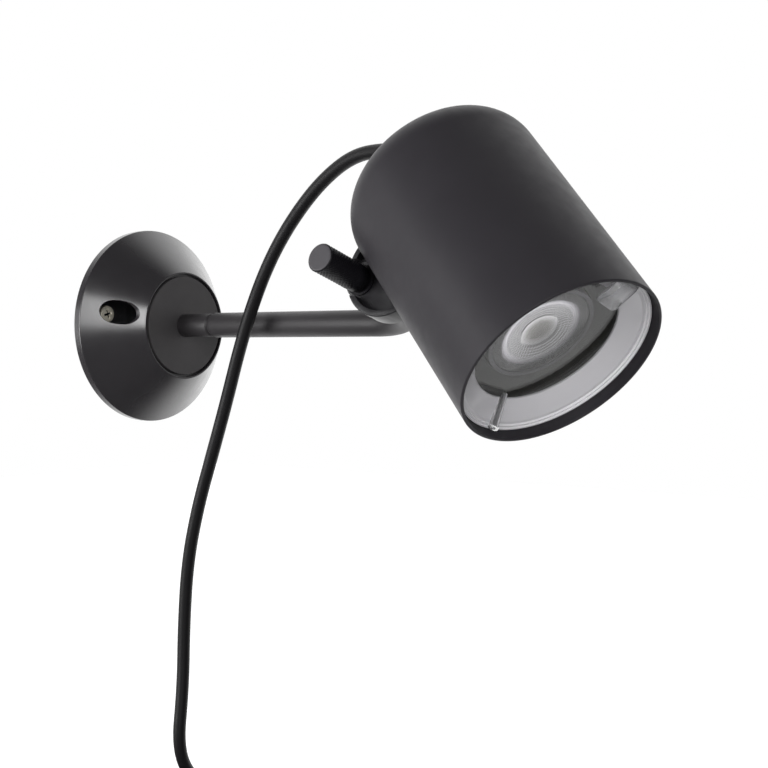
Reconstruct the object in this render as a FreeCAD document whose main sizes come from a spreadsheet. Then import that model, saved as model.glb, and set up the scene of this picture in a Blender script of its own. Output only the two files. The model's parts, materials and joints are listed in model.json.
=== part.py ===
"""Pivoting spotlight wall light: a wall cone, a bent swivelling arm, a tilting round shade and its lead.

The row frame has its origin on the wall at the middle of the base, +Z up, and the light stands off the
wall towards -Y. Pieces are drawn in four local frames and then placed:
  wall frame   Z off the wall along the arm, X along the wall
  arm frame    the wall frame rolled about the arm, so that X runs along the tilt axis towards the knob
  pivot frame  on the tilt axis in the middle plane of the shade: Z to the knob, X along the shade's beam
  head frame   on the shade's own axis beside the pivot: Z along the beam, X towards the pivot
"""
import FreeCAD
import Part
import math
import os
import types

from FreeCAD import Placement, Rotation, Vector

doc = FreeCAD.newDocument("spotlight_wall_light")

# ---------------------------------------------------------------- driving sizes, in millimetres and degrees
SIZES = [
    # wall base
    ("rim_radius", 55.0), ("rim_height", 4.5), ("mouth_radius", 30.2), ("cone_height", 30.5),
    ("cone_wall", 3.0), ("mouth_lip", 0.8), ("groove_depth", 2.2), ("groove_width", 1.5),
    ("ledge_width", 3.9), ("ledge_thickness", 2.0), ("disc_thickness", 3.2), ("disc_chamfer", 0.4),
    ("plate_thickness", 2.5), ("screw_circle", 72.0), ("screw_turn", 10.0), ("screw_hole_radius", 2.75),
    ("access_width", 13.3), ("access_length", 15.4), ("access_reach", 40.3),
    ("boss_radius", 9.0), ("boss_thread_radius", 2.55), ("boss_thread_depth", 7.0),
    ("wall_screw_radius", 2.4), ("wall_screw_head", 4.8), ("wall_screw_head_height", 3.4),
    ("wall_screw_reach", 14.0), ("wall_screw_shank", 2.1),
    # neck and arm
    ("neck_radius", 6.45), ("neck_end", 53.0), ("neck_chamfer", 1.0), ("tail_radius", 4.2),
    ("swivel_play", 0.06), ("spigot_length", 13.0), ("ring_groove", 0.8), ("ring_place", 7.0),
    ("ring_width", 2.2), ("tube_radius", 6.9), ("tube_wall", 1.54), ("tube_chamfer", 1.0),
    ("arm_reach", 205.5), ("bend_radius", 36.3), ("arm_roll", 17.175), ("grub_radius", 1.5),
    # pivot
    ("pivot_offset", 61.5), ("housing_radius", 22.3), ("housing_front", 5.86), ("housing_back", 4.94),
    ("housing_rim", 2.9), ("housing_floor", 0.6), ("housing_dish", 1.9),
    ("lug_radius", 8.6), ("pocket_radius", 9.2), ("pocket_shift", 1.0), ("housing_forward", 9.8),
    ("housing_inward", 14.8),
    ("pivot_standoff", 9.4), ("stud_radius", 3.0), ("stud_length", 29.0),
    ("washer_thickness", 0.9), ("washer_radius", 8.6), ("flange_thickness", 2.0), ("plug_length", 14.0),
    ("knob_radius", 6.75), ("knob_end", 31.86), ("knob_bore_depth", 11.0), ("knob_washer_radius", 7.5),
    ("knob_washer_thickness", 0.8), ("housing_screw_radius", 1.5), ("housing_screw_first", 7.5),
    ("housing_screw_second", 25.0), ("housing_screw_depth", 5.0), ("housing_screw_level", 2.2),
    # shade
    ("tilt", 46.78), ("shade_radius", 46.1), ("shade_wall", 1.5), ("shade_length", 125.2),
    ("shade_front", 105.9), ("dome_round", 19.4), ("gland_hole_radius", 6.1),
    ("cover_depth", 5.0), ("cover_rim_height", 3.5), ("cover_play", 0.3), ("cover_wall", 1.6),
    ("cover_seat", 2.7), ("window_radius", 33.2), ("window_depth", 13.3), ("gasket_height", 2.2),
    ("tab_width", 14.5), ("tab_reach", 29.5), ("tab_depth", 5.6), ("tab_thickness", 1.8),
    ("baffle_depth", 22.0), ("baffle_gap", 0.8), ("baffle_wall", 1.2), ("baffle_skirt", 8.0),
    # lamp and its holder
    ("lamp_face_depth", 19.0), ("lamp_radius", 24.5), ("lamp_length", 47.0), ("lamp_rim", 5.0),
    ("lamp_bezel", 1.9), ("lens_thickness", 2.6), ("lamp_waist", 13.5), ("cap_radius", 11.0),
    ("cap_length", 11.0), ("pin_radius", 2.4), ("pin_length", 6.5), ("pin_spacing", 10.0),
    ("holder_radius", 13.5), ("holder_length", 22.0), ("shelf_thickness", 2.0), ("shelf_width", 16.0),
    ("leg_start", 3.5), ("leg_end", 32.0), ("leg_gap", 0.9), ("wire_hole_radius", 4.0),
    ("small_screw_radius", 1.45), ("small_screw_head", 2.7), ("holder_screw_spacing", 17.0),
    ("terminal_length", 17.0), ("terminal_width", 10.0), ("terminal_height", 9.0),
    # cable gland and lead
    ("gland_radius", 8.5), ("gland_flange", 3.0), ("gland_thread", 6.0), ("gland_bore", 3.7),
    ("gland_length", 9.0), ("nut_height", 4.0), ("cord_radius", 3.5), ("relief_start", 5.6),
    ("relief_end", 4.1), ("relief_bend", 36.0), ("relief_turn", 35.5),
    # plug
    ("plug_width", 35.0), ("plug_depth", 17.0), ("plug_height", 23.0), ("plug_round", 5.0),
    ("plug_neck_length", 14.0), ("plug_neck_radius", 6.6), ("plug_pin_radius", 2.4),
    ("plug_pin_length", 19.0), ("plug_pin_spacing", 19.0),
    # clearances
    ("play", 0.05), ("gap", 0.3),
]

sheet = doc.addObject("Spreadsheet::Sheet", "sizes")
for row, (alias, number) in enumerate(SIZES, start=1):
    sheet.set(f"A{row}", alias)
    sheet.set(f"B{row}", str(number))
    sheet.setAlias(f"B{row}", alias)
doc.recompute()


class Size:
    """A number with the sheet expression that gives it, so that a feature can be bound to it."""

    def __init__(self, value, text):
        self.value = value
        self.text = text

    def __add__(self, other):
        other = size_of(other)
        return Size(self.value + other.value, f"({self.text} + {other.text})")

    def __sub__(self, other):
        other = size_of(other)
        return Size(self.value - other.value, f"({self.text} - {other.text})")

    def __mul__(self, other):
        other = size_of(other)
        return Size(self.value * other.value, f"({self.text} * {other.text})")

    def __truediv__(self, other):
        other = size_of(other)
        return Size(self.value / other.value, f"({self.text} / {other.text})")

    def __neg__(self):
        return Size(-self.value, f"(-1 * {self.text})")


def size_of(number):
    """A plain number as a Size, so that the two mix in sums."""
    return number if isinstance(number, Size) else Size(float(number), f"{number}")


s = types.SimpleNamespace(**{alias: Size(float(sheet.get(alias)), f"sizes.{alias}") for alias, _ in SIZES})

# ---------------------------------------------------------------- local frames
NECK_TO_BEND = s.arm_reach - s.bend_radius


def frame_of(origin, x_axis, z_axis):
    """A placement from its origin and the directions of its own X and Z."""
    return Placement(origin, Rotation(x_axis, z_axis.cross(x_axis), z_axis, "ZXY"))


roll = math.radians(s.arm_roll.value)
tilt = math.radians(s.tilt.value)
OFF_WALL = Vector(0, -1, 0)
KNOB_WAY = Vector(-math.cos(roll), 0, math.sin(roll))
ARM_UP = Vector(math.sin(roll), 0, math.cos(roll))
BEAM = OFF_WALL * math.cos(tilt) - ARM_UP * math.sin(tilt)
TO_PIVOT = BEAM.cross(KNOB_WAY)

PIVOT_DISTANCE = s.shade_radius + s.pivot_standoff
PIVOT_POINT = OFF_WALL * s.arm_reach.value + KNOB_WAY * s.pivot_offset.value
SHADE_POINT = PIVOT_POINT - TO_PIVOT * PIVOT_DISTANCE.value

WALL_FRAME = frame_of(Vector(0, 0, 0), Vector(1, 0, 0), OFF_WALL)
ARM_FRAME = frame_of(Vector(0, 0, 0), KNOB_WAY, OFF_WALL)
PIVOT_FRAME = frame_of(PIVOT_POINT, BEAM, KNOB_WAY)
HEAD_FRAME = frame_of(SHADE_POINT, TO_PIVOT, BEAM)

NODES = []


# ---------------------------------------------------------------- helpers
def bind(item, prop, amount):
    """Tie a property to the sheet, or set a plain number."""
    if isinstance(amount, Size):
        item.setExpression(prop, amount.text)
    else:
        setattr(item, prop, amount)


def move(item, x=0, y=0, z=0, rotation=None):
    """Put a piece at a place of its local frame, each coordinate tied to the sheet."""
    coordinates = [size_of(amount) for amount in (x, y, z)]
    turn = rotation if rotation else Rotation()
    item.Placement = Placement(Vector(*[amount.value for amount in coordinates]), turn)
    for axis, amount, given in zip("xyz", coordinates, (x, y, z)):
        if isinstance(given, Size):
            item.setExpression(f"Placement.Base.{axis}", amount.text)
    return item


def turned(name, outline):
    """A solid of revolution about local Z, from corners (radius, height) tied to the sheet."""
    body = doc.addObject("PartDesign::Body", name)
    sketch = body.newObject("Sketcher::SketchObject", f"{name}_outline")
    plane = [item for item in body.Origin.OriginFeatures if item.Role == "XZ_Plane"][0]
    sketch.AttachmentSupport = [(plane, "")]
    sketch.MapMode = "FlatFace"
    corners = [(size_of(radius), size_of(height)) for radius, height in outline]
    points = [Vector(radius.value, height.value, 0) for radius, height in corners]
    count = len(points)
    for index in range(count):
        sketch.addGeometry(Part.LineSegment(points[index], points[(index + 1) % count]), False)
    for index in range(count):
        sketch.addConstraint(Sketcher.Constraint("Coincident", index, 2, (index + 1) % count, 1))
    for index, corner in enumerate(corners):
        for kind, side_axis, amount in (("DistanceX", -2, corner[0]), ("DistanceY", -1, corner[1])):
            if amount.text == "0":
                sketch.addConstraint(Sketcher.Constraint("PointOnObject", index, 1, side_axis))
                continue
            number = sketch.addConstraint(Sketcher.Constraint(kind, -1, 1, index, 1, amount.value))
            sketch.setExpression(f"Constraints[{number}]", amount.text)
    turn = body.newObject("PartDesign::Revolution", f"{name}_turn")
    turn.Profile = sketch
    turn.ReferenceAxis = (sketch, ["V_Axis"])
    turn.Angle = 360
    sketch.Visibility = False
    doc.recompute()
    return body


def rounded(body, rings):
    """Round circular edges of a turned body: each ring is (edge radius, edge height, rounding)."""
    for number, (ring_radius, ring_height, amount) in enumerate(rings, start=1):
        shape = body.Tip.Shape
        wanted = []
        for index, edge in enumerate(shape.Edges, start=1):
            if not isinstance(edge.Curve, Part.Circle):
                continue
            near_radius = abs(edge.Curve.Radius - size_of(ring_radius).value) < 1e-4
            near_height = abs(edge.Curve.Center.z - size_of(ring_height).value) < 1e-4
            if near_radius and near_height:
                wanted.append(f"Edge{index}")
        fillet = body.newObject("PartDesign::Fillet", f"{body.Name}_round{number}")
        fillet.Base = (body.Tip if body.Tip != fillet else body.Group[-2], wanted)
        bind(fillet, "Radius", amount)
        doc.recompute()
    return body


def cylinder(name, radius, height, x=0, y=0, z=0, rotation=None):
    """A round bar along its own Z, standing at a place of the local frame."""
    item = doc.addObject("Part::Cylinder", name)
    bind(item, "Radius", radius)
    bind(item, "Height", height)
    return move(item, x, y, z, rotation)


def cone(name, start_radius, end_radius, height, x=0, y=0, z=0, rotation=None):
    """A tapered bar along its own Z."""
    item = doc.addObject("Part::Cone", name)
    bind(item, "Radius1", start_radius)
    bind(item, "Radius2", end_radius)
    bind(item, "Height", height)
    return move(item, x, y, z, rotation)


def block(name, length, width, height, x=0, y=0, z=0):
    """A block with its low corner at a place of the local frame."""
    item = doc.addObject("Part::Box", name)
    bind(item, "Length", length)
    bind(item, "Width", width)
    bind(item, "Height", height)
    return move(item, x, y, z)


def fused(name, shapes):
    """Several shapes made one solid."""
    item = doc.addObject("Part::MultiFuse", name)
    item.Shapes = shapes
    item.Refine = True
    return item


def grouped(name, shapes):
    """Several separate solids kept together as one node."""
    item = doc.addObject("Part::Compound", name)
    item.Links = shapes
    return item


def cut(name, base, tools):
    """A shape with others taken out of it."""
    tool = tools[0] if len(tools) == 1 else fused(f"{name}_tools", tools)
    item = doc.addObject("Part::Cut", name)
    item.Base = base
    item.Tool = tool
    return item


def plain(name, shape):
    """A piece whose shape comes from a formula or a path."""
    item = doc.addObject("Part::Feature", name)
    item.Shape = shape
    return item


def node(item, label, placement):
    """Give a finished piece its name and its place in the row frame."""
    if not item.Placement.isIdentity():
        item = grouped(f"{label}_placed", [item])
    item.Label = label
    item.Placement = placement
    NODES.append(item)
    return item


import Sketcher  # noqa: E402  (FreeCAD and Part have to be loaded before it)

# ---------------------------------------------------------------- wall base
TUBE_BORE = s.tube_radius - s.tube_wall
SPIGOT_RADIUS = TUBE_BORE - s.swivel_play
PLATE_RADIUS = s.rim_radius - s.cone_wall - s.gap
DISC_BACK = s.cone_height - s.disc_thickness
DISC_RADIUS = s.mouth_radius - s.mouth_lip - s.groove_width - s.play * 2
CONE_SLOPE = (s.rim_radius - s.mouth_radius) / (s.cone_height - s.rim_height)
SCREW_REACH = s.screw_circle / 2
SCREW_ANGLES = (180 - s.screw_turn.value, -s.screw_turn.value)


def cone_radius(height):
    """Outside radius of the cone's flank at a height off the wall."""
    return s.rim_radius - (height - s.rim_height) * CONE_SLOPE


def around(angle, reach):
    """The place on a circle of the wall frame, tied to its radius."""
    return reach * math.cos(math.radians(angle)), reach * math.sin(math.radians(angle))


def make_wall_plate():
    """Steel plate against the wall: two screw holes and a countersunk hole for the boss screw."""
    disc = turned("plate_disc", [
        (s.boss_thread_radius * 2, 0), (PLATE_RADIUS, 0), (PLATE_RADIUS, s.plate_thickness),
        (s.boss_thread_radius, s.plate_thickness)])
    holes = []
    for number, angle in enumerate(SCREW_ANGLES, start=1):
        x, y = around(angle, SCREW_REACH)
        holes.append(cylinder(f"plate_hole{number}", s.screw_hole_radius, s.plate_thickness + 2, x, y, -1))
    node(cut("plate", disc, holes), "wall_plate", WALL_FRAME)


def make_centre_boss():
    """Steel boss on the plate that the arm's neck screws into, and the screw that holds it."""
    boss = turned("boss", [
        (s.boss_thread_radius, s.plate_thickness), (s.boss_radius, s.plate_thickness),
        (s.boss_radius, DISC_BACK), (s.tail_radius + s.play, DISC_BACK),
        (s.tail_radius + s.play, s.plate_thickness + s.boss_thread_depth),
        (s.boss_thread_radius, s.plate_thickness + s.boss_thread_depth)])
    node(boss, "centre_boss", WALL_FRAME)
    shank = s.boss_thread_radius - s.play
    screw = turned("boss_fixing", [
        (0, s.play * 2), (s.boss_thread_radius * 2 - s.play * 4, s.play * 2),
        (shank, s.plate_thickness - s.play), (shank, s.plate_thickness + s.boss_thread_depth - s.gap),
        (0, s.plate_thickness + s.boss_thread_depth - s.gap)])
    node(screw, "boss_screw", WALL_FRAME)


def make_wall_cone():
    """Turned cone over the plate, with a grooved mouth for the front disc and two access slots."""
    ledge_front = DISC_BACK
    ledge_back = DISC_BACK - s.ledge_thickness
    groove_foot = s.cone_height - s.groove_depth
    guide_radius = DISC_RADIUS + s.play * 2
    shell = turned("cone_shell", [
        (s.rim_radius - s.cone_wall, 0), (s.rim_radius, 0), (s.rim_radius, s.rim_height),
        (s.mouth_radius, s.cone_height), (s.mouth_radius - s.mouth_lip, s.cone_height),
        (s.mouth_radius - s.mouth_lip, groove_foot), (guide_radius, groove_foot),
        (guide_radius, ledge_front), (DISC_RADIUS - s.ledge_width, ledge_front),
        (DISC_RADIUS - s.ledge_width, ledge_back), (cone_radius(ledge_back) - s.cone_wall, ledge_back),
        (s.rim_radius - s.cone_wall, s.rim_height)])
    half_run = (s.access_length - s.access_width) / 2
    slots = []
    for number, angle in enumerate(SCREW_ANGLES, start=1):
        for end, reach in enumerate((s.access_reach - half_run, s.access_reach + half_run), start=1):
            x, y = around(angle, reach)
            slots.append(cylinder(f"access{number}_{end}", s.access_width / 2, s.cone_height, x, y,
                                  s.rim_height + 1))
        x, y = around(angle, s.access_reach)
        middle = doc.addObject("Part::Box", f"access{number}_middle")
        bind(middle, "Length", half_run * 2)
        bind(middle, "Width", s.access_width)
        bind(middle, "Height", s.cone_height)
        turn = Rotation(Vector(0, 0, 1), angle)
        corner = turn.multVec(Vector(-half_run.value, -s.access_width.value / 2, 0))
        move(middle, x + corner.x, y + corner.y, s.rim_height + 1, turn)
        slots.append(middle)
    node(cut("cone_cut", shell, slots), "wall_cone", WALL_FRAME)


def make_front_disc():
    """Flat round cap in the cone's mouth, clamped by the neck's shoulder."""
    disc = turned("cap_disc", [
        (s.tail_radius + s.play * 2, DISC_BACK), (DISC_RADIUS, DISC_BACK),
        (DISC_RADIUS, s.cone_height - s.disc_chamfer),
        (DISC_RADIUS - s.disc_chamfer, s.cone_height), (s.tail_radius + s.play * 2, s.cone_height)])
    node(disc, "front_disc", WALL_FRAME)


def make_arm_neck():
    """Turned neck that the arm swivels on: threaded tail, shoulder, spigot and a groove for its ring."""
    groove_start = s.neck_end + s.ring_place
    groove_end = groove_start + s.ring_width
    tail_end = s.plate_thickness + s.boss_thread_depth + s.gap
    neck = turned("neck", [
        (0, tail_end), (s.tail_radius, tail_end), (s.tail_radius, s.cone_height),
        (s.neck_radius, s.cone_height), (s.neck_radius, s.neck_end - s.neck_chamfer),
        (s.neck_radius - s.neck_chamfer, s.neck_end), (SPIGOT_RADIUS, s.neck_end),
        (SPIGOT_RADIUS, groove_start), (SPIGOT_RADIUS - s.ring_groove, groove_start),
        (SPIGOT_RADIUS - s.ring_groove, groove_end), (SPIGOT_RADIUS, groove_end),
        (SPIGOT_RADIUS, s.neck_end + s.spigot_length), (0, s.neck_end + s.spigot_length)])
    node(neck, "arm_neck", WALL_FRAME)
    ring = turned("friction_ring", [
        (SPIGOT_RADIUS - s.ring_groove + s.play, groove_start + s.play),
        (TUBE_BORE - s.play, groove_start + s.play), (TUBE_BORE - s.play, groove_end - s.play),
        (SPIGOT_RADIUS - s.ring_groove + s.play, groove_end - s.play)])
    node(ring, "swivel_ring", WALL_FRAME)


def make_wall_screws():
    """Two pan-head screws with crossed driver slots; the threads stand out behind the plate."""
    top = s.plate_thickness + s.play + s.wall_screw_head_height
    screws = []
    for number, angle in enumerate(SCREW_ANGLES, start=1):
        body = turned(f"wall_screw{number}", [
            (0, -s.wall_screw_reach), (s.wall_screw_radius * 0.4, -s.wall_screw_reach),
            (s.wall_screw_radius, -(s.wall_screw_reach - 3)), (s.wall_screw_radius, 0),
            (s.wall_screw_shank, 0), (s.wall_screw_shank, s.plate_thickness + s.play),
            (s.wall_screw_head, s.plate_thickness + s.play),
            (s.wall_screw_head, top - s.wall_screw_head_height / 2),
            (s.wall_screw_head * 0.7, top), (0, top)])
        x, y = around(angle, SCREW_REACH)
        move(body, x, y, 0)
        slots = []
        for side, turn in (("a", angle + 25), ("b", angle + 115)):
            slot = doc.addObject("Part::Box", f"driver_slot{number}{side}")
            bind(slot, "Length", s.wall_screw_head * 1.1)
            bind(slot, "Width", 1.0)
            bind(slot, "Height", 3.0)
            way = Rotation(Vector(0, 0, 1), turn)
            corner = way.multVec(Vector(-s.wall_screw_head.value * 0.55, -0.5, 0))
            move(slot, x + corner.x, y + corner.y, top - 1.9, way)
            slots.append(slot)
        screws.append(cut(f"wall_screw_cut{number}", body, slots))
    node(grouped("wall_screw_pair", screws), "wall_screws", WALL_FRAME)


# ---------------------------------------------------------------- arm
TUBE_START = s.neck_end + s.gap
STUD_HOLE = s.stud_radius + s.gap
FLANGE_BACK = s.housing_back + s.washer_thickness + s.play * 2 + s.flange_thickness
TUBE_END = s.pivot_offset - FLANGE_BACK


def make_arm_tube():
    """Steel tube: straight off the wall, one quarter bend towards the knob, and a short straight end."""
    straight = turned("arm_straight", [
        (TUBE_BORE, TUBE_START), (s.tube_radius - s.tube_chamfer, TUBE_START),
        (s.tube_radius, TUBE_START + s.tube_chamfer * 2.2), (s.tube_radius, NECK_TO_BEND),
        (TUBE_BORE, NECK_TO_BEND)])
    bends = []
    for name, radius in (("bend_outside", s.tube_radius), ("bend_inside", TUBE_BORE)):
        ring = doc.addObject("Part::Torus", name)
        bind(ring, "Radius1", s.bend_radius)
        bind(ring, "Radius2", radius)
        ring.Angle3 = 90
        turn = Rotation(Vector(-1, 0, 0), Vector(0, 0, 1), Vector(0, 1, 0), "ZXY")
        move(ring, s.bend_radius, 0, NECK_TO_BEND, turn)
        bends.append(ring)
    bend = cut("arm_bend", bends[0], [bends[1]])
    tip = turned("arm_tip", [
        (TUBE_BORE, s.bend_radius), (s.tube_radius, s.bend_radius), (s.tube_radius, TUBE_END),
        (TUBE_BORE, TUBE_END)])
    move(tip, 0, 0, s.arm_reach, Rotation(Vector(0, 1, 0), 90))
    tube = fused("arm_pipe", [straight, bend, tip])
    hole = cylinder("grub_hole", s.grub_radius + s.play, s.tube_radius * 2, 0, 0,
                    s.neck_end + s.ring_place + s.ring_width / 2, Rotation(Vector(1, 0, 0), -90))
    node(cut("arm_pipe_drilled", tube, [hole]), "arm_tube", ARM_FRAME)
    grub = cylinder("grub", s.grub_radius, s.tube_radius - TUBE_BORE - s.play * 4, 0, TUBE_BORE + s.play,
                    s.neck_end + s.ring_place + s.ring_width / 2, Rotation(Vector(1, 0, 0), -90))
    node(grub, "grub_screw", ARM_FRAME)


def make_arm_insert():
    """Threaded plug in the tube's end; its flange bears on the friction washer."""
    plug_radius = TUBE_BORE - s.play
    face = -(s.housing_back + s.washer_thickness + s.play * 2)
    foot = -(FLANGE_BACK + s.plug_length)
    insert = turned("end_plug", [
        (s.stud_radius + s.play, foot), (plug_radius, foot),
        (plug_radius, -FLANGE_BACK), (s.washer_radius, -FLANGE_BACK), (s.washer_radius, face),
        (s.stud_radius + s.play, face)])
    node(insert, "arm_insert", PIVOT_FRAME)


# ---------------------------------------------------------------- pivot
def make_friction_washer():
    """Nylon washer between the arm's flange and the housing."""
    near = -(s.housing_back + s.play)
    washer = turned("rear_washer", [
        (STUD_HOLE, near - s.washer_thickness), (s.washer_radius, near - s.washer_thickness),
        (s.washer_radius, near), (STUD_HOLE, near)])
    node(washer, "friction_washer", PIVOT_FRAME)


def make_shade_envelope(name, radius, back, rounding):
    """The shade's outside, or its inside, as a solid in the head frame."""
    can = turned(name, [(0, back), (radius, back), (radius, s.shade_front), (0, s.shade_front)])
    return rounded(can, [(radius, back, rounding)])


def make_pivot_housing():
    """Round housing saddled on the shade's side: a dished drum, a lug round the stud, and a knob pocket."""
    drum_height = s.housing_front + s.housing_back
    drum = turned("drum", [
        (0, -s.housing_back), (s.housing_radius - 0.4, -s.housing_back),
        (s.housing_radius, -(s.housing_back - 0.4)), (s.housing_radius, s.housing_front - 0.4),
        (s.housing_radius - 0.4, s.housing_front), (s.housing_radius - s.housing_rim, s.housing_front),
        (s.housing_radius - s.housing_rim, s.housing_dish), (0, s.housing_dish)])
    move(drum, s.housing_forward, s.housing_inward, 0)
    lug = cylinder("stud_lug", s.lug_radius, s.housing_back + s.housing_floor, 0, 0, -s.housing_back)
    beside = Rotation(Vector(0, -1, 0), Vector(0, 0, -1), Vector(1, 0, 0), "ZXY")
    saddle = move(make_shade_envelope("saddle", s.shade_radius + s.play, SHADE_BACK - s.play,
                                      s.dome_round), 0, PIVOT_DISTANCE, 0, beside)
    bore = cylinder("stud_bore", STUD_HOLE, drum_height * 2, 0, 0, -drum_height)
    pocket = cylinder("knob_pocket", s.pocket_radius, drum_height, s.pocket_shift * 0.55,
                      s.pocket_shift * 0.83, s.housing_floor)
    tools = [saddle, bore, pocket]
    wall_face = PIVOT_DISTANCE - s.shade_radius
    for number, place in enumerate((s.housing_screw_first, s.housing_screw_second), start=1):
        tools.append(cylinder(f"tapped_hole{number}", s.housing_screw_radius + s.play,
                              s.housing_screw_depth + s.gap + 2, place,
                              wall_face - s.housing_screw_depth - s.gap, -s.housing_screw_level,
                              Rotation(Vector(1, 0, 0), -90)))
    node(cut("housing", fused("housing_blank", [drum, lug]), tools), "pivot_housing", PIVOT_FRAME)


def make_knob():
    """Long knurled clamping knob, its stud and the washer under it, all on the tilt axis."""
    washer_face = s.housing_floor + s.play
    knob_base = washer_face + s.knob_washer_thickness + s.play
    washer = turned("front_washer", [
        (STUD_HOLE, washer_face), (s.knob_washer_radius, washer_face),
        (s.knob_washer_radius, washer_face + s.knob_washer_thickness),
        (STUD_HOLE, washer_face + s.knob_washer_thickness)])
    node(washer, "knob_washer", PIVOT_FRAME)
    knob = turned("knob", [
        (s.stud_radius + s.play, knob_base), (s.knob_radius - 0.5, knob_base),
        (s.knob_radius - 0.5, knob_base + 2.6), (s.knob_radius, knob_base + 3.0),
        (s.knob_radius, s.knob_end - 0.5), (s.knob_radius - 0.5, s.knob_end), (0, s.knob_end),
        (0, knob_base + s.knob_bore_depth), (s.stud_radius + s.play, knob_base + s.knob_bore_depth)])
    node(knob, "knurled_knob", PIVOT_FRAME)
    stud_top = knob_base + s.knob_bore_depth - s.play
    node(cylinder("stud", s.stud_radius, s.stud_length, 0, 0, stud_top - s.stud_length), "knob_stud",
         PIVOT_FRAME)


# ---------------------------------------------------------------- shade and its inside
SHADE_BACK = s.shade_front - s.shade_length
SHADE_INSIDE = s.shade_radius - s.shade_wall
BACK_INSIDE = SHADE_BACK + s.shade_wall


def make_shade():
    """Spun shade: a straight round can with a generously rounded closed end."""
    can = turned("can", [
        (0, SHADE_BACK), (s.shade_radius, SHADE_BACK), (s.shade_radius, s.shade_front),
        (SHADE_INSIDE, s.shade_front), (SHADE_INSIDE, BACK_INSIDE), (0, BACK_INSIDE)])
    rounded(can, [(s.shade_radius, SHADE_BACK, s.dome_round),
                  (SHADE_INSIDE, BACK_INSIDE, s.dome_round - s.shade_wall)])
    holes = [cylinder("gland_hole", s.gland_hole_radius, s.shade_wall * 3, 0, 0, SHADE_BACK - s.shade_wall)]
    for number, place in enumerate((s.housing_screw_first, s.housing_screw_second), start=1):
        holes.append(cylinder(f"wall_hole{number}", s.housing_screw_radius + s.play, s.shade_wall * 4,
                              SHADE_INSIDE - s.shade_wall, s.housing_screw_level, place,
                              Rotation(Vector(0, 1, 0), 90)))
    node(cut("shade_can", can, holes), "shade", HEAD_FRAME)


def make_bracket():
    """L-shaped lamp bracket: its leg is screwed to the shade's wall, its shelf carries the lampholder."""
    leg_outside = SHADE_INSIDE - s.leg_gap
    shelf_top = HOLDER_BACK
    half_width = s.shelf_width / 2
    leg = block("leg", s.shelf_thickness + s.leg_gap * 2, s.shelf_width, s.leg_end - s.leg_start,
                leg_outside - s.shelf_thickness, -half_width, s.leg_start)
    shelf = block("shelf", leg_outside - s.shelf_thickness / 2 + s.holder_radius, s.shelf_width,
                  s.shelf_thickness, -s.holder_radius, -half_width, shelf_top - s.shelf_thickness)
    formed = doc.addObject("Part::MultiCommon", "bracket_formed")
    formed.Shapes = [fused("bracket_blank", [leg, shelf]),
                     cylinder("wall_inside", SHADE_INSIDE - s.play, s.shade_length)]
    holes = [cylinder("wire_hole", s.wire_hole_radius, s.shelf_thickness * 3, 0, 0,
                      shelf_top - s.shelf_thickness * 2)]
    for number, side in enumerate((-1, 1), start=1):
        holes.append(cylinder(f"holder_hole{number}", s.small_screw_radius + s.play, s.shelf_thickness * 3,
                              s.holder_screw_spacing / 2 * side, 0, shelf_top - s.shelf_thickness * 2))
    for number, place in enumerate((s.housing_screw_first, s.housing_screw_second), start=1):
        holes.append(cylinder(f"leg_hole{number}", s.housing_screw_radius + s.play, s.shelf_thickness * 3,
                              leg_outside - s.shelf_thickness * 2, s.housing_screw_level, place,
                              Rotation(Vector(0, 1, 0), 90)))
    node(cut("bracket", formed, holes), "lamp_bracket", HEAD_FRAME)
    screws = []
    head_face = leg_outside - s.shelf_thickness - s.play
    for number, place in enumerate((s.housing_screw_first, s.housing_screw_second), start=1):
        screw = turned(f"housing_screw{number}", [
            (0, head_face - 2), (s.housing_screw_radius * 1.9, head_face - 2),
            (s.housing_screw_radius * 1.9, head_face), (s.housing_screw_radius, head_face),
            (s.housing_screw_radius, s.shade_radius + s.housing_screw_depth),
            (0, s.shade_radius + s.housing_screw_depth)])
        move(screw, 0, s.housing_screw_level, place, Rotation(Vector(0, 1, 0), 90))
        screws.append(screw)
    node(grouped("housing_screw_pair", screws), "housing_screws", HEAD_FRAME)


LAMP_FACE = s.shade_front - s.lamp_face_depth
LAMP_BACK = LAMP_FACE - s.lamp_length
LENS_RADIUS = s.lamp_radius - s.lamp_bezel
HOLDER_FRONT = LAMP_BACK - s.play
HOLDER_BACK = HOLDER_FRONT - s.holder_length


def make_lampholder():
    """Round ceramic lampholder with two pin sockets, and its two screws from behind the shelf."""
    blank = turned("holder_blank", [
        (0, HOLDER_BACK + s.play), (s.holder_radius, HOLDER_BACK + s.play),
        (s.holder_radius, HOLDER_FRONT - 1), (s.holder_radius - 1, HOLDER_FRONT), (0, HOLDER_FRONT)])
    holes = []
    for number, side in enumerate((-1, 1), start=1):
        holes.append(cylinder(f"pin_socket{number}", s.pin_radius + s.gap, s.pin_length + 2,
                              s.pin_spacing / 2 * side, 0, HOLDER_FRONT - s.pin_length - s.gap))
        holes.append(cylinder(f"holder_thread{number}", s.small_screw_radius + s.play, s.pin_length + 1,
                              s.holder_screw_spacing / 2 * side, 0, HOLDER_BACK - 1))
    node(cut("holder", blank, holes), "lampholder", HEAD_FRAME)
    screws = []
    under = HOLDER_BACK - s.shelf_thickness - s.play
    for number, side in enumerate((-1, 1), start=1):
        screw = turned(f"holder_screw{number}", [
            (0, under - 2), (s.small_screw_head, under - 2), (s.small_screw_head, under),
            (s.small_screw_radius, under), (s.small_screw_radius, HOLDER_BACK + s.pin_length - 1),
            (0, HOLDER_BACK + s.pin_length - 1)])
        screws.append(move(screw, s.holder_screw_spacing / 2 * side, 0, 0))
    node(grouped("holder_screw_pair", screws), "holder_screws", HEAD_FRAME)


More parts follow.
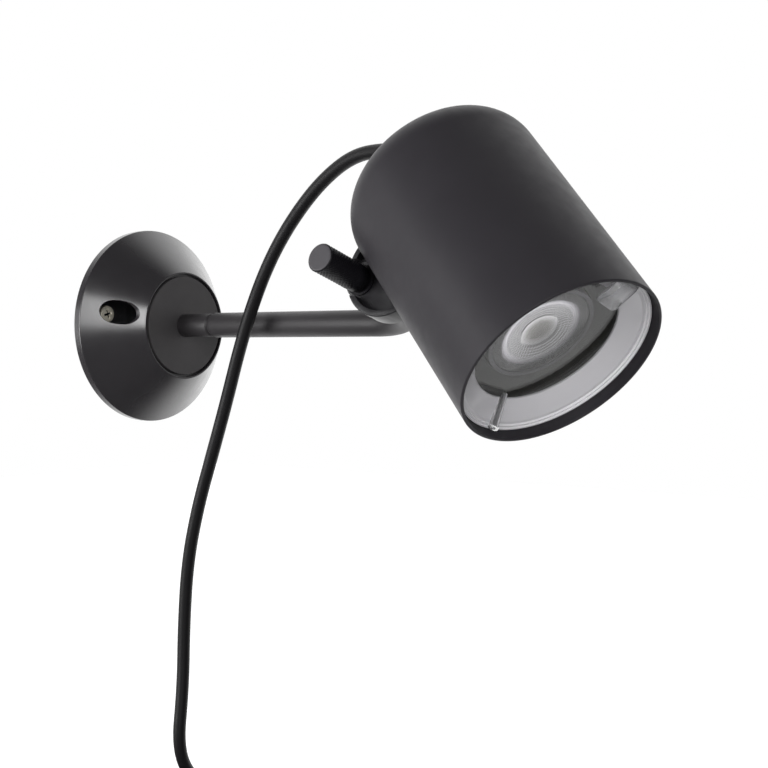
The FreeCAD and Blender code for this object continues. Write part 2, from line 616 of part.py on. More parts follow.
def make_lamp():
    """Spot lamp: rimmed body, flat lens, ceramic cap and two pins."""
    lens_seat = LAMP_FACE - s.lens_thickness
    waist_height = LAMP_BACK + s.cap_length
    body = turned("lamp_shell", [
        (0, waist_height), (s.lamp_waist, waist_height), (s.lamp_radius, LAMP_FACE - s.lamp_rim),
        (s.lamp_radius, LAMP_FACE), (LENS_RADIUS + s.play, LAMP_FACE),
        (LENS_RADIUS + s.play, lens_seat), (0, lens_seat)])
    node(body, "lamp_body", HEAD_FRAME)
    lens = turned("lens_disc", [
        (0, lens_seat + s.play), (LENS_RADIUS, lens_seat + s.play),
        (LENS_RADIUS, LAMP_FACE - s.play), (0, LAMP_FACE - s.play)])
    node(lens, "lamp_lens", HEAD_FRAME)
    cap = turned("cap_round", [
        (0, LAMP_BACK), (s.cap_radius, LAMP_BACK), (s.cap_radius, waist_height - s.play),
        (0, waist_height - s.play)])
    node(cap, "lamp_cap", HEAD_FRAME)
    pins = []
    for number, side in enumerate((-1, 1), start=1):
        pins.append(cylinder(f"pin{number}", s.pin_radius, s.pin_length, s.pin_spacing / 2 * side, 0,
                             LAMP_BACK - s.pin_length))
    node(grouped("pin_pair", pins), "lamp_pins", HEAD_FRAME)


def make_baffle():
    """Dark ring that closes the shade around the lamp, with a skirt along the shade's wall."""
    front = s.shade_front - s.baffle_depth
    outside = SHADE_INSIDE - s.play * 2
    bore = s.lamp_radius + s.baffle_gap
    baffle = turned("baffle_ring", [
        (bore, front - s.baffle_wall), (outside - s.baffle_wall, front - s.baffle_wall),
        (outside - s.baffle_wall, front - s.baffle_skirt), (outside, front - s.baffle_skirt),
        (outside, front), (bore, front)])
    node(baffle, "baffle", HEAD_FRAME)


def make_cover():
    """Clear dished cover in the shade's mouth: stepped rim, sloping wall, window, finger tab and peg."""
    outside = SHADE_INSIDE - s.cover_play
    rim_front = s.shade_front - s.cover_depth
    rim_back = rim_front - s.cover_rim_height
    seat = outside - s.cover_seat
    window_front = s.shade_front - s.window_depth
    window_back = window_front - s.cover_wall
    dish = turned("cover_dish", [
        (0, window_back), (s.window_radius + 0.6, window_back), (seat, rim_back), (outside, rim_back),
        (outside, rim_front), (outside - 0.9, rim_front), (outside - 0.9, rim_front - 0.9),
        (outside - 1.8, rim_front - 0.9), (outside - 1.8, rim_front - 1.9),
        (seat - 0.6, rim_back + s.cover_wall), (s.window_radius, window_front), (0, window_front)])
    tab_height = s.shade_front - s.tab_depth
    tab = block("finger_tab", outside - s.tab_reach - 1.2, s.tab_width, s.tab_thickness,
                -(outside - 1.2), -s.tab_width / 2 - 2.7, tab_height - s.tab_thickness)
    peg_start = Vector(s.window_radius.value - 3.4, 8.0, window_front.value)
    peg_finish = Vector(outside.value - 4.1, 2.0, s.shade_front.value - 0.6)
    peg_way = peg_finish - peg_start
    lean = Rotation(Vector(0, 0, 1), peg_way)
    peg = cone("peg", 1.3, 2.3, peg_way.Length, peg_start.x, peg_start.y, window_front, lean)
    dimple = cylinder("peg_dimple", 0.9, 4.0, peg_finish.x, peg_finish.y, peg_finish.z - 1.2, lean)
    node(cut("cover", fused("cover_blank", [dish, tab, peg]), [dimple]), "clear_cover", HEAD_FRAME)
    gasket = turned("gasket_ring", [
        (seat + s.gap, rim_back - s.play - s.gasket_height), (outside, rim_back - s.play - s.gasket_height),
        (outside, rim_back - s.play), (seat + s.gap, rim_back - s.play)])
    node(gasket, "cover_gasket", HEAD_FRAME)


def make_wiring():
    """Terminal block under the shelf and the single wires to the gland and the lampholder."""
    block_top = HOLDER_BACK - s.shelf_thickness - s.play
    block_foot = block_top - s.terminal_height
    terminal = block("terminal", s.terminal_width, s.terminal_length, s.terminal_height,
                     -s.terminal_width / 2, -s.terminal_length / 2, block_foot)
    node(terminal, "terminal_block", HEAD_FRAME)
    wires = []
    gland_end = SHADE_BACK + s.shade_wall + s.gland_length
    for number, side in enumerate((-1, 0, 1), start=1):
        wires.append(cylinder(f"supply_wire{number}", 0.9, block_foot - gland_end - s.play * 2,
                              0, size_of(2.2) * side, gland_end + s.play))
    for number, side in enumerate((-1, 1), start=1):
        wires.append(cylinder(f"lamp_wire{number}", 0.9, s.shelf_thickness + s.play * 0.6,
                              0, size_of(2.2) * side, block_top + s.play * 0.5))
    node(grouped("wires", wires), "lamp_leads", HEAD_FRAME)


def make_gland():
    """Cable gland through the middle of the closed end, and its hexagonal nut inside."""
    face = SHADE_BACK - s.play
    gland = turned("gland", [
        (s.gland_bore, face - s.gland_flange), (s.gland_radius - 0.8, face - s.gland_flange),
        (s.gland_radius, face - s.gland_flange + 0.8), (s.gland_radius, face), (s.gland_thread, face),
        (s.gland_thread, BACK_INSIDE + s.gland_length), (s.gland_bore, BACK_INSIDE + s.gland_length)])
    node(gland, "cable_gland", HEAD_FRAME)
    prism = doc.addObject("Part::Prism", "nut_blank")
    prism.Polygon = 6
    bind(prism, "Circumradius", s.gland_radius + 0.9)
    bind(prism, "Height", s.nut_height)
    move(prism, 0, 0, BACK_INSIDE + s.play)
    thread = cylinder("nut_thread", s.gland_thread + s.play, s.nut_height * 3, 0, 0,
                      BACK_INSIDE - s.nut_height)
    node(cut("nut", prism, [thread]), "gland_nut", HEAD_FRAME)


# ---------------------------------------------------------------- the lead
GLAND_FACE = SHADE_POINT + BEAM * (SHADE_BACK - s.play - s.gland_flange).value
LEAD_OUT = -BEAM
RELIEF_LEAN = Vector(0.358, 0.609, -0.708)

# Points of the lead's route after the strain relief, in the row frame. It hangs from the back of the
# shade, passes in front of the arm and goes straight down beside the wall to the coil.
FIRST_RUN = 15.0
LEAD_ROUTE = [
    (-25.5, -174.0, 82.2), (-21.0, -149.6, 71.6), (-18.5, -128.6, 54.6),
    (-17.2, -111.6, 34.6), (-17.0, -98.6, 11.0), (-17.5, -88.6, -14.6), (-18.5, -80.6, -41.2),
    (-20.0, -71.5, -69.4), (-20.6, -61.0, -98.4), (-20.8, -52.8, -130.2), (-20.3, -49.3, -165.0),
    (-20.6, -48.7, -200.0),
]
ARM_CROSSING = 7        # the upper stretch ends in the middle of the run after this many route points
COIL_CENTRE = Vector(-36.0, -48.5, -296.0)
COIL_INNER = 26.7       # radius of the innermost turn
COIL_PITCH = 7.7        # from turn to turn and from layer to layer
COIL_TURNS = 5.125
COIL_START_ANGLE = 45.0     # where the lead joins, seen from the front, anticlockwise from +X
COIL_EASE = 0.5         # how softly the spiral reverses, in radians
COIL_STATIONS = 8       # places per turn where the tube's arcs meet
TIE_PLAY = 0.45


def relief_point(turn):
    """A point on the strain relief's curve and its direction, after a turn in radians."""
    side = RELIEF_LEAN - LEAD_OUT * RELIEF_LEAN.dot(LEAD_OUT)
    side.normalize()
    bend = s.relief_bend.value
    place = GLAND_FACE + LEAD_OUT * (bend * math.sin(turn)) + side * (bend * (1 - math.cos(turn)))
    return place, LEAD_OUT * math.cos(turn) + side * math.sin(turn)


def make_strain_relief():
    """Bent, tapered sleeve that carries the lead out of the gland."""
    steps = 5
    rings = []
    for step in range(steps):
        share = step / (steps - 1)
        place, way = relief_point(math.radians(s.relief_turn.value) * share)
        radius = s.relief_start.value + (s.relief_end.value - s.relief_start.value) * share
        rings.append(Part.Wire(Part.Circle(place, way, radius).toShape()))
    node(plain("relief", Part.makeLoft(rings, True)), "strain_relief", Placement())


def tube_along(points, radius):
    """A tube on straight runs joined by tangent arcs, each as large as its two runs allow."""
    edges = []
    radii = []
    start = points[0]
    for index in range(1, len(points) - 1):
        corner = points[index]
        back = points[index - 1] - corner
        ahead = points[index + 1] - corner
        shorter = min(back.Length, ahead.Length)
        back.normalize()
        ahead.normalize()
        half_turn = (math.pi - back.getAngle(ahead)) / 2
        reach = 0.45 * shorter
        radii.append(reach / math.tan(half_turn))
        first = corner + back * reach
        last = corner + ahead * reach
        inward = back + ahead
        inward.normalize()
        sagitta = radii[-1] * (1 / math.cos(half_turn) - 1)
        edges.append(Part.LineSegment(start, first).toShape())
        edges.append(Part.Arc(first, corner + inward * sagitta, last).toShape())
        start = last
    edges.append(Part.LineSegment(start, points[-1]).toShape())
    path = Part.Wire(edges)
    way = points[1] - points[0]
    ring = Part.Wire(Part.Circle(points[0], way, radius).toShape())
    solid = path.makePipeShell([ring], True, False)
    expected = math.pi * radius ** 2 * path.Length
    print(f"lead stretch: {path.Length:.1f} mm, volume {solid.Volume / expected:.4f} of section times "
          f"length, arcs {', '.join(f'{amount:.0f}' for amount in radii)} mm")
    return solid, path.Length


def coil_point(turned_by):
    """A place on the coil after an angle in radians: a flat spiral in, one layer back, and out again."""
    middle = math.pi * COIL_TURNS
    along = turned_by - middle
    radius = COIL_INNER + COIL_PITCH / (2 * math.pi) * (math.sqrt(along ** 2 + COIL_EASE ** 2) - COIL_EASE)
    share = min(max(along / math.pi + 0.5, 0.0), 1.0)
    layer = COIL_PITCH * share * share * (3 - 2 * share)
    angle = math.radians(COIL_START_ANGLE) - turned_by
    return COIL_CENTRE + Vector(radius * math.cos(angle), layer, radius * math.sin(angle))


def coil_way(turned_by):
    """Direction of the coil's tube after an angle, from two close points."""
    step = 1e-4
    way = coil_point(turned_by + step) - coil_point(turned_by - step)
    way.normalize()
    return way


def arc_from(place, way, target):
    """The arc that leaves a place in a direction and ends at a target."""
    chord = target - place
    across = chord - way * chord.dot(way)
    radius = chord.Length ** 2 / (2 * across.Length)
    across.normalize()
    centre = place + across * radius
    outward = (place + target) * 0.5 - centre
    outward.normalize()
    return Part.Arc(place, centre + outward * radius, target).toShape()


def biarc(place, way, target, target_way):
    """Two tangent arcs from a place and direction to another place and direction."""
    chord = target - place
    ways = way + target_way
    bend = 2 * (1 - way.dot(target_way))
    reach = (math.sqrt(chord.dot(ways) ** 2 + bend * chord.dot(chord)) - chord.dot(ways)) / bend
    joint = (place + way * reach + target - target_way * reach) * 0.5
    second = arc_from(target, -target_way, joint)
    return [arc_from(place, way, joint), second]


def make_coil():
    """The put-away length as one unbroken tube of turns in two layers, and the tie around them."""
    total = 2 * math.pi * COIL_TURNS
    count = math.ceil(COIL_TURNS * COIL_STATIONS)
    stations = [total * index / count for index in range(count + 1)]
    edges = []
    for start, finish in zip(stations, stations[1:]):
        edges += biarc(coil_point(start), coil_way(start), coil_point(finish), coil_way(finish))
    path = Part.Wire(Part.__sortEdges__(edges))
    ring = Part.Wire(Part.Circle(coil_point(0), coil_way(0), s.cord_radius.value).toShape())
    solid = path.makePipeShell([ring], True, False)
    node(plain("coil", solid), "cord_coil", Placement())
    samples = 72
    marks = [coil_point(2 * math.pi * index / samples) for index in range(int(COIL_TURNS * samples) + 1)]
    least = min((marks[here] - marks[there]).Length
                for here in range(len(marks)) for there in range(here + samples // 3, len(marks)))
    print(f"coil: {path.Length:.1f} mm of lead, least gap to itself "
          f"{least - 2 * s.cord_radius.value:.2f} mm, volume "
          f"{solid.Volume / (math.pi * s.cord_radius.value ** 2 * path.Length):.4f} of section times length")
    return path.Length


def edges_across(box):
    """The four edges of a box that run along X."""
    return [edge for edge in box.Edges if abs(edge.tangentAt(edge.FirstParameter).x) > 0.5]


def make_coil_tie():
    """Flat strap around the whole bundle at the top of the coil."""
    width = 11.0
    reach = s.cord_radius.value + TIE_PLAY
    full_turn = 2 * math.pi
    passes = [math.radians(COIL_START_ANGLE - 90) + full_turn * number
              for number in range(1, math.ceil(COIL_TURNS))]
    levels = [coil_point(turned_by).z - COIL_CENTRE.z for turned_by in passes]
    lowest = math.sqrt(min(levels) ** 2 - (width / 2) ** 2) - reach
    highest = max(levels) + reach
    strap = 1.4
    depth = COIL_PITCH + 2 * reach
    front = -reach
    shape = Part.makeBox(width, depth, highest - lowest, Vector(-width / 2, front, lowest))
    outer = Part.makeBox(width, depth + 2 * strap, highest - lowest + 2 * strap,
                         Vector(-width / 2, front - strap, lowest - strap))
    band = outer.makeFillet(3.0, edges_across(outer)).cut(shape.makeFillet(1.7, edges_across(shape)))
    node(plain("tie", band), "coil_tie", Placement(COIL_CENTRE, Rotation()))


def make_lead():
    """The two free stretches, the coil, and the plug that hangs from the coil's outer end."""
    relief_end, relief_way = relief_point(math.radians(s.relief_turn.value))
    route = [relief_end, relief_end + relief_way * FIRST_RUN] + [Vector(*point) for point in LEAD_ROUTE]
    coil_start = coil_point(0)
    coil_in = coil_way(0)
    route += [coil_start - coil_in * 27.0 + Vector(-3.0, 0, 8.0), coil_start - coil_in * 9.0, coil_start]
    split = (route[ARM_CROSSING] + route[ARM_CROSSING + 1]) * 0.5
    upper, upper_length = tube_along(route[:ARM_CROSSING + 1] + [split], s.cord_radius.value)
    node(plain("upper_tube", upper), "cord_upper", Placement())
    lower, lower_length = tube_along([split] + route[ARM_CROSSING + 1:], s.cord_radius.value)
    node(plain("lower_tube", lower), "cord_lower", Placement())
    coil_length = make_coil()
    make_coil_tie()
    finish = 2 * math.pi * COIL_TURNS
    tail_start = coil_point(finish)
    tail_way = coil_way(finish)
    plug_top = tail_start + tail_way * 9.0 + Vector(-0.6, 1.0, -19.0)
    tail, tail_length = tube_along([tail_start, tail_start + tail_way * 9.0,
                                    plug_top + Vector(0, 0, 9.5), plug_top], s.cord_radius.value)
    node(plain("tail_tube", tail), "cord_tail", Placement())
    total = upper_length + lower_length + coil_length + tail_length
    print(f"whole lead outside the relief: {total:.1f} mm")
    make_plug(plug_top)


def make_plug(top):
    """Two-pin mains plug hanging with its pins down: tapered neck, rounded body and two round pins."""
    neck = cone("plug_neck", s.plug_neck_radius, s.cord_radius + 0.7, s.plug_neck_length, 0, 0,
                -s.plug_neck_length)
    blank = block("plug_block", s.plug_width, s.plug_depth, s.plug_height, -s.plug_width / 2,
                  -s.plug_depth / 2, -(s.plug_neck_length + s.plug_height - 1))
    doc.recompute()
    soft = doc.addObject("Part::Fillet", "plug_soft")
    soft.Base = blank
    upright = [index for index, edge in enumerate(blank.Shape.Edges, start=1)
               if abs(edge.Vertexes[0].Point.z - edge.Vertexes[1].Point.z) > 1]
    shoulders = [index for index, edge in enumerate(blank.Shape.Edges, start=1)
                 if edge.Vertexes[0].Point.z > -s.plug_neck_length.value - 1
                 and edge.Vertexes[1].Point.z > -s.plug_neck_length.value - 1]
    radius = s.plug_round.value
    soft.Edges = [(index, radius, radius) for index in upright + shoulders]
    place = Placement(top, Rotation())
    node(fused("plug", [soft, neck]), "plug_body", place)
    pins = []
    foot = s.plug_neck_length + s.plug_height - 1
    for number, side in enumerate((-1, 1), start=1):
        pins.append(cylinder(f"plug_pin{number}", s.plug_pin_radius, s.plug_pin_length,
                             s.plug_pin_spacing / 2 * side, 0, -(foot + s.plug_pin_length + s.play)))
    node(grouped("plug_pin_pair", pins), "plug_pins", place)


# ---------------------------------------------------------------- build, test and write
make_wall_plate()
make_centre_boss()
make_wall_cone()
make_front_disc()
make_arm_neck()
make_wall_screws()
make_arm_tube()
make_arm_insert()
make_friction_washer()
make_pivot_housing()
make_knob()
make_shade()
make_bracket()
make_lampholder()
make_lamp()
make_baffle()
make_cover()
make_wiring()
make_gland()
make_strain_relief()
make_lead()
doc.recompute()

for item in doc.Objects:
    if "Invalid" in item.State or "Error" in item.State:
        raise RuntimeError(f"{item.Name} failed: {item.State}")
os.makedirs("parts", exist_ok=True)
for item in NODES:
    shape = item.Shape
    if shape.isNull() or not shape.isValid():
        raise RuntimeError(f"{item.Label} has no valid shape")
    shape.exportStep(f"parts/{item.Label}.step")
    print(f"{item.Label}: {len(shape.Solids)} solid(s), {shape.Volume:.0f} mm3")
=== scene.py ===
# %% [markdown]
# # A pivoting spotlight wall light
# The metal parts arrive ready made as a fixed frame. Here they get their finishes, and the parts whose
# looks need more than a plain solid, such as the lead, the knurled knob, the clear cover and the lamp's
# faceted face, are made again as numpy surfaces. Lengths are in metres, +Z is up and the wall is the plane
# y = 0 with the light standing off it towards -Y.

# %% Load the frame
import json

import bmesh
import bpy
import numpy as np
from mathutils import Matrix, Vector

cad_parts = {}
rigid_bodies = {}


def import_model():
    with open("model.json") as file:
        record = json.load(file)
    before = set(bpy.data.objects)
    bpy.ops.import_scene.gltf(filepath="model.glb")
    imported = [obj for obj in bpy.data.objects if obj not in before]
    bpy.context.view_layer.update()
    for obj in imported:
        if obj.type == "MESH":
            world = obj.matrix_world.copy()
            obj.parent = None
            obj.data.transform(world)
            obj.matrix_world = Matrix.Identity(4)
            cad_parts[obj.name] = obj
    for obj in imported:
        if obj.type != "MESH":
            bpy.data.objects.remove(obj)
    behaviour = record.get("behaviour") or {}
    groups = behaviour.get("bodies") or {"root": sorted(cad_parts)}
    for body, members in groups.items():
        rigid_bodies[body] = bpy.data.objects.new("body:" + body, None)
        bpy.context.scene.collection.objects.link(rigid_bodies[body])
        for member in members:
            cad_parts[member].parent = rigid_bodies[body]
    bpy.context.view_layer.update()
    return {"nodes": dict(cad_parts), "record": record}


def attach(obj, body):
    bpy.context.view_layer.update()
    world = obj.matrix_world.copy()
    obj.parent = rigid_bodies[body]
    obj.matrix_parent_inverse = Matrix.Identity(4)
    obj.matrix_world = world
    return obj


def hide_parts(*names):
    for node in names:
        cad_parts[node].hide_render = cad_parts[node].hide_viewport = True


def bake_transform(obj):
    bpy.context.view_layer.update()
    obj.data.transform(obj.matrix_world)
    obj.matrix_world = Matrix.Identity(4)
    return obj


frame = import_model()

MM = 0.001
nodes = frame["nodes"]
slot_of_node = {part["node"]: part["material_slot"] for part in frame["record"]["subparts"]}
print("pieces in the frame:", len(nodes))

# %% [markdown]
# ## Three directions that place everything
# The arm is rolled a little about its own axis and the shade is tipped down, so most parts are easiest to
# describe in their own frame: straight off the wall, along the tilt axis, or along the beam of light. Each
# frame is a 4 by 4 matrix whose columns are its own X, Y and Z directions and its origin, which lets one
# matrix product carry a whole array of points to its place.

# %% Local frames
ARM_ROLL = np.radians(17.175)
TILT = np.radians(46.78)
OFF_WALL = np.array([0.0, -1.0, 0.0])
KNOB_WAY = np.array([-np.cos(ARM_ROLL), 0.0, np.sin(ARM_ROLL)])
ARM_UP = np.array([np.sin(ARM_ROLL), 0.0, np.cos(ARM_ROLL)])
BEAM = OFF_WALL * np.cos(TILT) - ARM_UP * np.sin(TILT)
TO_PIVOT = np.cross(BEAM, KNOB_WAY)
ARM_REACH = 0.2055          # from the wall to the tilt axis
ARM_SIDE = 0.0615           # from the arm's own axis to where the housing pivots
PIVOT_DISTANCE = 0.0555     # from the shade's axis to the tilt pivot
PIVOT_POINT = OFF_WALL * ARM_REACH + KNOB_WAY * ARM_SIDE
SHADE_POINT = PIVOT_POINT - TO_PIVOT * PIVOT_DISTANCE
SHADE_RADIUS = 46.1         # this and the next three are in millimetres
SHADE_WALL = 1.5
SHADE_FRONT = 105.9
SHADE_BACK = -19.3


def local_frame(origin, x_way, z_way):
    """Columns X, Z cross X, Z and origin, as one matrix."""
    matrix = np.eye(4)
    matrix[:3, 0] = x_way
    matrix[:3, 1] = np.cross(z_way, x_way)
    matrix[:3, 2] = z_way
    matrix[:3, 3] = origin
    return matrix


ORIGIN = np.zeros(3)
WALL = local_frame(ORIGIN, np.array([1.0, 0.0, 0.0]), OFF_WALL)
PIVOT = local_frame(PIVOT_POINT, BEAM, KNOB_WAY)
HEAD = local_frame(SHADE_POINT, TO_PIVOT, BEAM)
print("beam direction", BEAM.round(3), "tilt axis", KNOB_WAY.round(3))

# %% [markdown]
# ## The camera
# The viewpoint was worked out from the photograph: the ellipses of the base and of the shade's mouth fix
# the direction and the distance, because a near circle looks larger than a far one. A pinhole camera needs
# only a place, a direction and a focal length. No lens shift is needed.

# %% Camera
VIEW_AZIMUTH = np.radians(-52.454)
VIEW_ELEVATION = np.radians(1.505)
CAMERA_PLACE = np.array([-0.568293, -0.609768, -0.012083])
SENSOR_WIDTH = 36.0
FOCAL_LENGTH = 66.216

camera_data = bpy.data.cameras.new("photo_camera")
camera_data.sensor_width = SENSOR_WIDTH
camera_data.lens = FOCAL_LENGTH
camera_data.clip_start = 0.01
camera = bpy.data.objects.new("photo_camera", camera_data)
bpy.context.scene.collection.objects.link(camera)
back = np.array([np.sin(VIEW_AZIMUTH) * np.cos(VIEW_ELEVATION),
                 -np.cos(VIEW_AZIMUTH) * np.cos(VIEW_ELEVATION), np.sin(VIEW_ELEVATION)])
right = np.array([np.cos(VIEW_AZIMUTH), np.sin(VIEW_AZIMUTH), 0.0])
camera.matrix_world = Matrix(local_frame(CAMERA_PLACE, right, back).tolist())
bpy.context.scene.camera = camera
print("camera at", CAMERA_PLACE, "lens", FOCAL_LENGTH, "mm")

# %% [markdown]
# ## Making surfaces with numpy
# Every new piece is a grid of points: rows follow one parameter and columns the other. The faces of a grid
# are known in advance, so they are worked out once as whole arrays. The columns run round the piece, so the
# last one joins the first.

# %% Grid and mesh helpers
def grid_faces(rows, columns):
    """Quads of a grid whose columns run round, wound so that they face outwards for a turned profile."""
    row, column = np.meshgrid(np.arange(rows - 1), np.arange(columns), indexing="ij")
    after = (column + 1) % columns
    corners = [row * columns + column, row * columns + after,
               (row + 1) * columns + after, (row + 1) * columns + column]
    return np.stack(corners, -1).reshape(-1, 4)


def finish_mesh(mesh, sharp_angle=35.0):
    """Join points that lie on each other, shade smooth, and keep edges sharp where faces turn a lot."""
    shape = bmesh.new()
    shape.from_mesh(mesh)
    bmesh.ops.remove_doubles(shape, verts=shape.verts, dist=1e-6)
    bmesh.ops.dissolve_degenerate(shape, edges=shape.edges, dist=1e-7)
    shape.to_mesh(mesh)
    shape.free()
    mesh.polygons.foreach_set("use_smooth", np.ones(len(mesh.polygons), bool))
    mesh.set_sharp_from_angle(angle=np.radians(sharp_angle))
    mesh.update()


def add_piece(name, mesh, body, materials, replaces):
    """Give a mesh its materials and its body, and say which frame pieces it stands for."""
    piece = bpy.data.objects.new(name, mesh)
    bpy.context.scene.collection.objects.link(piece)
    for material in materials:
        mesh.materials.append(material)
    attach(piece, body)
    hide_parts(*replaces)
    print(name, "has", len(mesh.polygons), "faces and stands for", ", ".join(replaces))
    return piece


def make_piece(name, points, faces, body, materials, replaces, uv=None, material_rows=None, sharp_angle=35.0):
    """Put arrays of points (metres) and quads into a smooth mesh that rides on a body."""
    mesh = bpy.data.meshes.new(name)
    mesh.from_pydata(points.tolist(), [], faces.tolist())
    if uv is not None:
        layer = mesh.uv_layers.new(name="UVMap")
        corner = np.zeros(len(mesh.loops), int)
        mesh.loops.foreach_get("vertex_index", corner)
        layer.data.foreach_set("uv", uv[corner].ravel())
    if material_rows is not None:
        mesh.polygons.foreach_set("material_index", np.asarray(material_rows, np.int32))
    finish_mesh(mesh, sharp_angle)
    return add_piece(name, mesh, body, materials, replaces)


# %% [markdown]
# ## Soft edges on ready-made parts
# A part whose shape in the frame is right needs only its edges broken. Its mesh arrives as loose triangles, so
# a copy is joined up and its flat faces are merged first. A Bevel modifier then rounds only those edges where
# the surface turns a lot, and hardened normals keep the flat faces looking flat.

# %% Edge rounds
EDGE_ANGLE = 32.0       # degrees that the surface must turn before an edge is rounded
FLAT_ANGLE = 0.3        # faces closer than this to one plane are merged


def softened(node_name, name, body, material, width):
    """A copy of a frame piece whose sharp edges get a small round of a given width in millimetres."""
    mesh = nodes[node_name].data.copy()
    mesh.name = name
    mesh.materials.clear()
    shape = bmesh.new()
    shape.from_mesh(mesh)
    bmesh.ops.remove_doubles(shape, verts=shape.verts, dist=1e-6)
    bmesh.ops.dissolve_limit(shape, angle_limit=np.radians(FLAT_ANGLE), verts=shape.verts, edges=shape.edges)
    shape.to_mesh(mesh)
    shape.free()
    mesh.polygons.foreach_set("use_smooth", np.ones(len(mesh.polygons), bool))
    piece = add_piece(name, mesh, body, [material], [node_name])
    edge = piece.modifiers.new("edge_round", "BEVEL")
    edge.width = width * MM
    edge.segments = 3
    edge.limit_method = "ANGLE"
    edge.angle_limit = np.radians(EDGE_ANGLE)
    edge.harden_normals = True
    return piece


# %% [markdown]
# ## Turned pieces
# Most of this light is round: cone, disc, shade, cover and knob could all come off a lathe. Such a piece is a
# profile in a half plane, carried once round an axis. The profile is a polygon whose corners get tangent arcs,
# because a real edge has a small radius that catches light.

# %% Turned pieces
GUARD = 0.15        # millimetres from an arc to the extra point that keeps the flat part's shading flat


def placed(points, matrix):
    """Carry an array of local points, in millimetres, to the row frame in metres."""
    flat = points.reshape(-1, 3) * MM
    return flat @ matrix[:3, :3].T + matrix[:3, 3]


def rounded_profile(corners, steps=5):
    """Turn a polygon of (radius, height, rounding) corners into a line with tangent arcs.

    Each arc has its centre on the corner's bisector. A guard point just before and after it keeps the
    smooth shading of the flat parts from being pulled round the edge."""
    points = np.array([corner[:2] for corner in corners], float)
    line = [points[0]]
    for index in range(1, len(points) - 1):
        rounding = corners[index][2]
        here = points[index]
        if rounding <= 0:
            line.append(here)
            continue
        back_way = points[index - 1] - here
        ahead_way = points[index + 1] - here
        room = min(np.linalg.norm(back_way), np.linalg.norm(ahead_way))
        back_way = back_way / np.linalg.norm(back_way)
        ahead_way = ahead_way / np.linalg.norm(ahead_way)
        half = np.arccos(np.clip(back_way @ ahead_way, -1, 1)) / 2
        reach = min(rounding / np.tan(half), room * 0.48)
        radius = reach * np.tan(half)
        bisector = back_way + ahead_way
        centre = here + bisector / np.linalg.norm(bisector) * radius / np.sin(half)
        start = here + back_way * reach - centre
        finish = here + ahead_way * reach - centre
        sweep = np.arctan2(start[0] * finish[1] - start[1] * finish[0], start @ finish)
        angle = np.linspace(0, sweep, max(3, int(abs(sweep) / (np.pi / 2) * steps) + 2))[:, None]
        side = np.array([-start[1], start[0]])
        arc = centre + np.cos(angle) * start + np.sin(angle) * side
        extra = min(GUARD, room * 0.02 + 0.02)
        line += [here + back_way * (reach + extra), *arc, here + ahead_way * (reach + extra)]
    line.append(points[-1])
    return np.array(line)


def lathe_points(profile, segments):
    """Points of a turned surface: x = r cos a, y = r sin a, z = height, for each profile point and angle."""
    angle = np.linspace(0, 2 * np.pi, segments, endpoint=False)
    radius = profile[:, :1]
    height = np.repeat(profile[:, 1:2], segments, 1)
    return np.stack([radius * np.cos(angle), radius * np.sin(angle), height], -1)


def lathe(name, corners, matrix, body, materials, replaces, segments, steps=5, material_from=None):
    """A turned piece from its profile, which runs anticlockwise round the material in the (r, z) plane.

    From the profile point nearest to material_from, a (radius, height) place, the faces use the second
    material."""
    profile = rounded_profile(corners, steps)
    points = lathe_points(profile, segments)
    faces = grid_faces(len(profile), segments)
    rows = None
    if material_from is not None:
        first = np.linalg.norm(profile - np.array(material_from), axis=1).argmin()
        rows = np.repeat(np.arange(len(profile) - 1) >= first, segments)
    return make_piece(name, placed(points, matrix), faces, body, materials, replaces, material_rows=rows)


# %% [markdown]
# ## Finishes
# A finish is a small network of shader nodes. Powder coat on metal has a very fine orange peel, which is a
# noise in the height of the surface, and a gloss that changes a little from place to place, which is a
# coarser noise in the roughness. Both read the object's own coordinates, so they move with the piece.

# %% Material helpers
def colour(hex_code):
    """A hex colour as linear numbers: each channel c becomes ((c + 0.055) / 1.055) ** 2.4."""
    channels = np.array([int(hex_code[index:index + 2], 16) for index in (0, 2, 4)]) / 255
    linear = np.where(channels <= 0.04045, channels / 12.92, ((channels + 0.055) / 1.055) ** 2.4)
    return (*linear.tolist(), 1.0)


def new_finish(name, base, roughness, metallic=0.0, **sockets):
    """A material with its shader, and the tree to add more nodes to."""
    material = bpy.data.materials.new(name)
    material.use_nodes = True
    tree = material.node_tree
    shader = tree.nodes["Principled BSDF"]
    shader.inputs["Base Color"].default_value = base
    shader.inputs["Roughness"].default_value = roughness
    shader.inputs["Metallic"].default_value = metallic
    for socket, value in sockets.items():
        shader.inputs[socket.replace("_", " ")].default_value = value
    return material, tree, shader


def add_node(tree, kind, values=None, **settings):
    """Add one shader node, set its properties and its input numbers."""
    node = tree.nodes.new(kind)
    for key, value in settings.items():
        setattr(node, key, value)
    for key, value in (values or {}).items():
        node.inputs[key].default_value = value
    return node


def object_noise(tree, scale, detail=3.0):
    """Noise on the piece's own coordinates: features are about 1 / scale metres across."""
    place = add_node(tree, "ShaderNodeTexCoord")
    noise = add_node(tree, "ShaderNodeTexNoise",
                     {"Scale": scale, "Detail": detail, "Roughness": 0.55})
    tree.links.new(place.outputs["Object"], noise.inputs["Vector"])
    return noise.outputs["Fac"]


def spread(tree, value, low, high):
    """Stretch a 0 to 1 noise over a range of numbers."""
    reach = add_node(tree, "ShaderNodeMapRange", {"From Min": 0.3, "From Max": 0.7, "To Min": low, "To Max": high})
    tree.links.new(value, reach.inputs["Value"])
    return reach.outputs["Result"]


